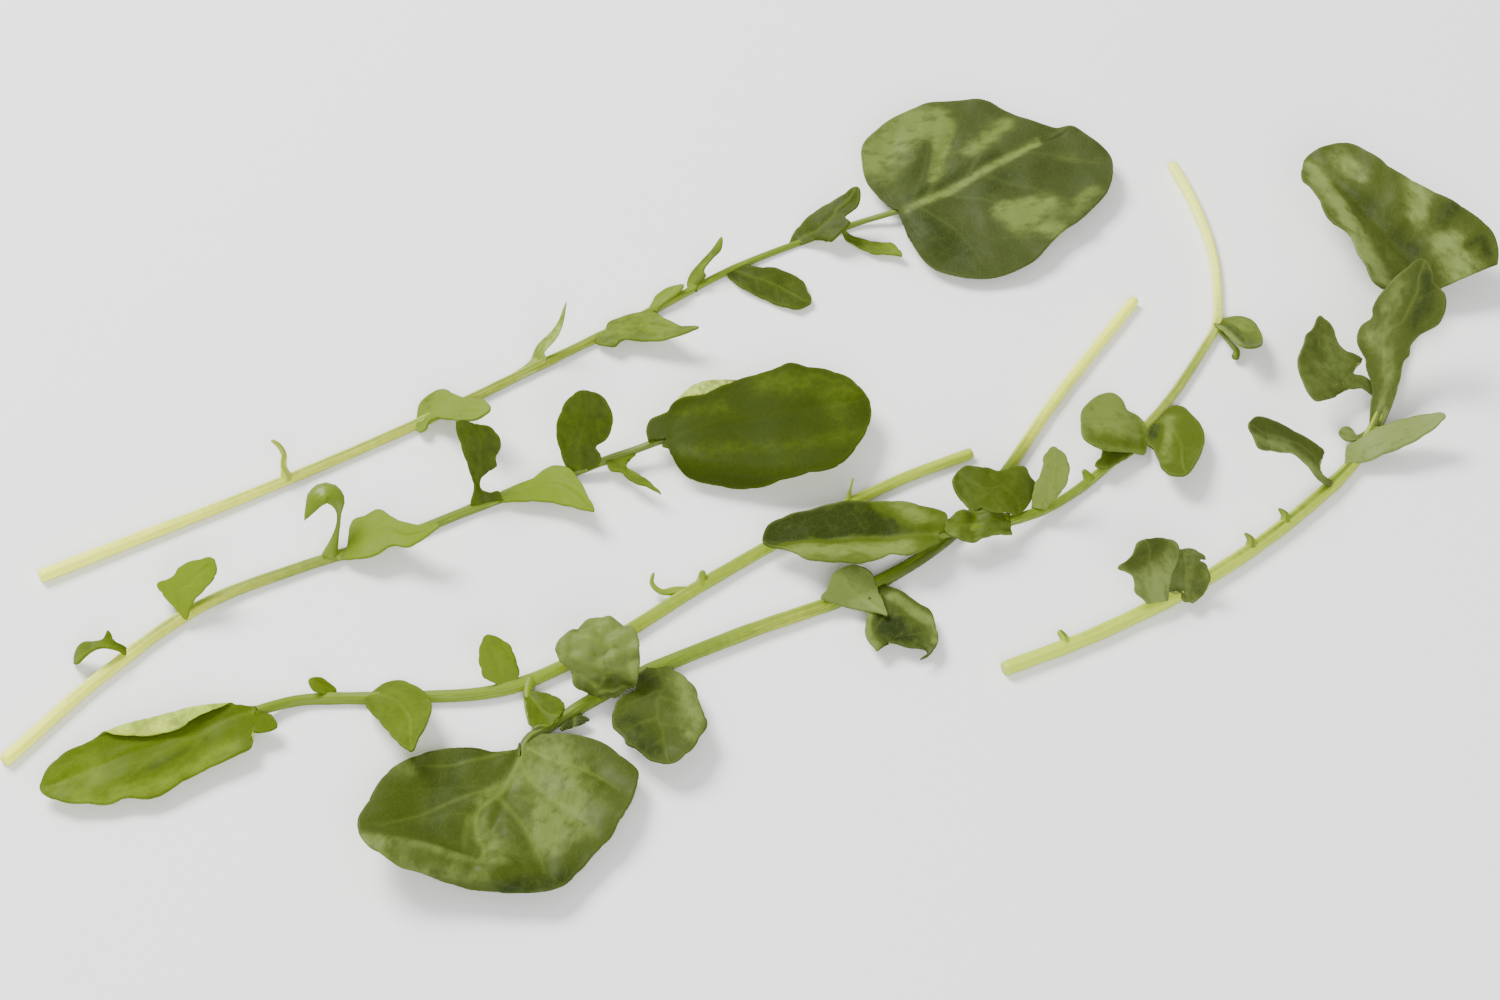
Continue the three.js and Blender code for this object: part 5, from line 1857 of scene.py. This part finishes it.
def sixth_leaf() -> Leaf:
    """The leaf on the right, which stands up most and ends in a creased terminal leaflet."""
    terminal = Blade(
        Lie(125, 12, 14, (14, 10), (4, 4)), perch=1.15,
        left=(
            (1.5, -8.6), (4.3, -9.6), (7.2, -8.2), (13.8, -5.9), (18.2, -6.5), (26.1, -3.8),
            (28.4, -3.6), (31.4, -1.2),
        ),
        tip=(32.7, 1.3),
        right=(
            (-2.6, 13.4), (-0.6, 14.6), (2.2, 15.2), (7.1, 14.1), (13.5, 11.9), (20.9, 9.8),
            (23.9, 9.5), (30.5, 7.8), (32.3, 4),
        ),
        base=((-2.2, -2), (-4.1, 12)), hub=(-1.8, 0.2), fan=0.2, lag=1.15,
        veins=(0.2, 0.32, 0.46, 0.6, 0.75), side_veins=0.15, rib_shown=0,
        traced=(
            Vein(((0, 0), (6, 0.5), (14, 0.8), (22, 1), (31, 1)), 0.25, 0.5),
            Vein(((0, 0.5), (2.9, 3.5), (4.5, 6.9), (6.4, 11.1)), 0.45),
            Vein(((7.1, -2.3), (14, 2.3)), 0.4),
        ),
        ridge=0.12, valley=0.3, crumple=0.45, grain=6, teeth=9, tooth=0.2, wave=0.6,
        streaks=(
            PaintedLightStroke(((30.2, -0.2), (24.8, -1.7), (17.9, -3.4), (10.9, -5.4), (3.7, -7.5)), 1.8, 0.6),
            PaintedLightStroke(((29, 4.8), (23, 4.7)), 1.8, 0.4),
            PaintedLightStroke(((21.7, 1.8), (14.3, 1.9), (7.1, 1.5)), 2.4, -0.35),
            PaintedLightStroke(((15, 10.7), (11.4, 7.2)), 2.4, 0.45), PaintedLightStroke(((8.8, 13.1), (7.7, 9.4)), 1.8, -0.45),
            PaintedLightStroke(((4, 7.6), (-1.4, 6.2)), 4.0, 0.5),
            PaintedLightStroke(((1.4, 10.1), (1.3, 12.8), (-1.6, 11.7)), 1.0, -0.6),
            PaintedLightStroke(((6, 3), (1, 0)), 2.5, -0.25),
        ),
    )
    leaflets = (
        (29.5, Blade(
            Lie(118, 40, heel=0),
            left=((1.4, -3.4), (3.3, -4.4), (5.7, -3.8), (7.8, -5.6), (8.8, -2.5), (10.2, -1.3)),
            tip=(10.4, 0.2), right=((3.3, 2.1), (4.7, 3.7), (7, 5.3), (8.3, 5), (9.4, 3.5)),
            base=((0.8, -3.2), (0, 0.2)), tone=ToneAndShade.LIGHT, perch=1.9,
            streaks=(PaintedLightStroke(((8, -3), (9, 2)), 1.6, -0.5), PaintedLightStroke(((2, -1), (4, 2)), 1.6, 0.3)),
        )),
        (34.5, Blade(
            Lie(80, 40, heel=0), left=((-1, -1.9), (-1, -3.9), (2.2, -4.7), (4.8, -4.7), (5.8, -2.8)),
            tip=(6.1, -0.3), right=((0.5, 2.5), (2.2, 2.6), (4, 1.7), (4.5, 0.6), (4.8, 1.6)),
            base=((-2.5, -0.9), (-2.7, 0.5)), tone=ToneAndShade.MIDDLING, perch=2.1, crumple=0.6, grain=3,
        )),
        (67.5, Blade(
            Lie(165, 36, heel=0),
            left=((3.2, -1.4), (5.8, -0.4), (8.4, 0.3), (11.6, -1.5), (15.6, -3.7), (17.1, -2.1)),
            tip=(18.3, -1),
            right=((2.7, 0), (3.9, 1.5), (3.5, 4.5), (6.5, 4.9), (9.4, 4.7), (17.5, 1.6)),
            base=((0.5, -1), (0.6, 0.2)), perch=1.2,
            streaks=(PaintedLightStroke(((3, -0.5), (10, 0.3), (16, -2.6)), 1.5, 0.35),),
        )),
        (81, Blade(
            Lie(180, 10), left=((1.8, -1.9), (3.4, -2.4), (4.7, -2.4)), tip=(5.7, -0.9),
            right=((1.7, -0.3), (2.8, -1), (3.2, -0.1), (4, 0.6), (5, 0.2)),
            base=((0.3, -1.6), (0.5, 0.9)), tone=ToneAndShade.LIGHT, rib_shown=0, crumple=0.1, tooth=0,
        )),
        (77, Blade(
            Lie(15, 16, heel=0),
            left=((-2.4, -1.6), (-1.1, -1.9), (1.6, -2.7), (7.2, -2.8), (10.1, -2.4), (13.7, -1)),
            tip=(14.2, -0.1), right=((-1.4, 2.5), (1.7, 2.6), (5.2, 2.6), (12.2, 1)),
            base=((-3.3, 0), (-4.1, 2)), tone=ToneAndShade.PALE, perch=1.5, rib_shown=0.3,
        )),
        (91, Blade(
            Lie(145, 30),
            left=(
                (2.4, -3.1), (3.8, -3.6), (5.1, -5.4), (6.2, -8.1), (6.5, -9.8), (7.9, -12.2),
                (8.7, -12.4), (10.7, -11.8), (14.2, -9.3), (15.2, -7.8), (15.7, -5.5), (16.4, -3.9),
                (16.3, -1.4),
            ),
            tip=(16.8, 0.9),
            right=(
                (2.5, -1), (4.7, -1.6), (6.4, -2.5), (6.8, -0.6), (6.5, 0.9), (8.1, 0.6), (9.7, -0.1),
                (11.3, -0.2), (13.4, 1), (15.7, 1.3),
            ),
            base=((0.5, -2.8), (0.8, -0.4)), tone=ToneAndShade.MIDDLING, teeth=6, tooth=0.2, rib_shown=0.2,
        )),
        (88, Blade(
            Lie(70, 35, heel=0),
            left=(
                (-0.2, -2.3), (2.3, -2.8), (5.2, -4.8), (6.2, -5), (8.4, -7), (9.6, -7.5), (11.5, -7.2),
                (13.2, -6), (14.7, -6.2), (18.2, -5.2), (22, -3), (24.6, -1),
            ),
            tip=(24.7, 0.1),
            right=(
                (-0.1, 1.2), (3.7, 1.4), (7.2, 1.1), (8.8, 1.7), (10.3, 1.4), (12.2, 2.4), (15.4, 5.2),
                (18.6, 5.2), (20.3, 4.4), (21.5, 2.2), (22.9, 1.8),
            ),
            base=((-5.5, -1.2), (-4.8, 0.8)), perch=1.7, crumple=0.45, teeth=7, tooth=0.2,
            streaks=(
                PaintedLightStroke(((14, 1), (18, 2), (22, 1)), 1.6, -0.5),
                PaintedLightStroke(((-3, 0), (3, 0), (8, -2)), 1.6, 0.25),
                PaintedLightStroke(((10, -5), (14, -4), (19, -3)), 2.0, 0.3),
            ),
        )),
    )
    return Leaf(
        number=6,
        route=(
            (39.5, -36, 0), (55, -28.5, 0), (73, -17, 0), (88.5, -3.5, 0), (99, 9, 0), (105.5, 24.5, 0),
            (109.5, 38, 1.2), (113, 45, 3.2),
        ),
        radii=(1.18, 1.18, 1.18, 1.1, 0.9, 0.8), greens=(0.1, 0.2, 0.3, 0.4, 0.5, 0.7, 0.9),
        terminal=terminal, leaflets=leaflets,
        spurs=(
            Spur(11, ((0, 0, 0), (-0.4, 0.9, 1), (-1.3, 1.6, 1.9)), (1.1, 0.7, 0.5), green=0.4),
            Spur(47.5, ((0, 0, 0), (-0.3, 1, 1.4), (-1.2, 1.5, 2.3)), (1.2, 0.7, 0.25), green=0.6),
            Spur(55.5, ((0, 0, 0), (-0.3, 1, 1.2), (-1.3, 1.5, 2.1)), (1.2, 0.7, 0.25), green=0.6),
        ),
        blade_finish=BladeFinish(
            "sixth_blade", deep=(0.022, 0.033, 0.003), body=(0.044, 0.06, 0.006),
            light=(0.148, 0.192, 0.048), vein=(0.155, 0.2, 0.05), under=(0.17, 0.2, 0.07),
        ),
        stalk_finish=StalkFinish(
            "sixth_stalk", PALE_GREEN, (0.11, 0.16, 0.01), STALK_DARK, grooved=1.3,
        ),
    )


# ---------------------------------------------------------------------------
# The place where it lies
# ---------------------------------------------------------------------------


@dataclass(frozen=True)
class Lamp:
    """A large soft light that looks at the bunch."""

    name: str
    place: tuple[float, float, float]
    width: float
    height: float
    power: float
    colour: Colour = (1.0, 1.0, 1.0)

    def hang(self) -> None:
        """Puts the light up."""
        data = bpy.data.lights.new(self.name, "AREA")
        data.shape = "RECTANGLE"
        data.size, data.size_y = self.width, self.height
        data.energy = self.power
        data.color = self.colour
        thing = bpy.data.objects.new(self.name, data)
        thing.location = self.place
        thing.rotation_euler = (-Vector(self.place)).to_track_quat("-Z", "Y").to_euler()
        bpy.context.scene.collection.objects.link(thing)


@dataclass(frozen=True)
class Studio:
    """A pale table in plain soft light, seen from the front and above."""

    eye: tuple[float, float, float] = (-0.005887, -0.46655, 0.5251)
    tilt: float = 41.4
    lens: float = 104.16
    lamps: tuple[Lamp, ...] = (
        Lamp("key_light", (-0.6, 0.6, 0.85), 0.6, 0.5, 30.0, (1.0, 0.985, 0.96)),
        Lamp("front_light", (0.15, -0.85, 0.6), 0.8, 0.5, 12.0, (0.98, 0.99, 1.0)),
    )
    fill: float = 0.7
    table_reach: float = 4.0
    sensor: float = 36.0

    def table(self) -> None:
        """A wide pale surface at the height of the stalks' undersides."""
        mesh = bmesh.new()
        bmesh.ops.create_grid(mesh, x_segments=1, y_segments=1, size=self.table_reach)
        thing = finished(mesh, "table", smooth=False)
        shader = Shader("table")
        shader.set(Base_Color=(0.9, 0.9, 0.9, 1.0), Roughness=0.8, Specular_IOR_Level=0.2)
        thing.data.materials.append(shader.material)

    def sky(self) -> None:
        """An even pale light from all round."""
        world = bpy.data.worlds.new("sky")
        world.use_nodes = True
        inputs = world.node_tree.nodes["Background"].inputs
        inputs["Color"].default_value = WHITE
        inputs["Strength"].default_value = self.fill
        bpy.context.scene.world = world

    def camera(self) -> None:
        """The camera, level and facing along +Y."""
        data = bpy.data.cameras.new("camera")
        data.lens = self.lens
        data.sensor_width = self.sensor
        data.clip_start = 0.01
        thing = bpy.data.objects.new("camera", data)
        thing.location = self.eye
        thing.rotation_euler = (math.radians(self.tilt), 0.0, 0.0)
        bpy.context.scene.collection.objects.link(thing)
        bpy.context.scene.camera = thing

    def build(self) -> None:
        """Sets up the table, the lights and the camera."""
        self.table()
        self.sky()
        for lamp in self.lamps:
            lamp.hang()
        self.camera()
        LOG.info("studio: %d lamps", len(self.lamps))


@dataclass
class Bunch:
    """The six leaves, as they lie."""

    leaves: list[Leaf] = field(
        default_factory=lambda: [
            first_leaf(), second_leaf(), third_leaf(), fourth_leaf(), fifth_leaf(), sixth_leaf()
        ]
    )

    def build(self) -> list[bpy.types.Object]:
        """Builds each leaf in order."""
        return [piece for leaf in self.leaves for piece in leaf.build()]


def write_sizes() -> None:
    """Brings the view layer up to date.
    """
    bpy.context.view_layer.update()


def main() -> None:
    """Builds the bunch and the studio."""
    logging.basicConfig(level=logging.INFO, format="%(name)s: %(message)s")
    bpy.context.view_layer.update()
    pieces = Bunch().build()
    LOG.info("bunch: %d pieces", len(pieces))
    Studio().build()
    write_sizes()


if __name__ == "__main__":
    main()
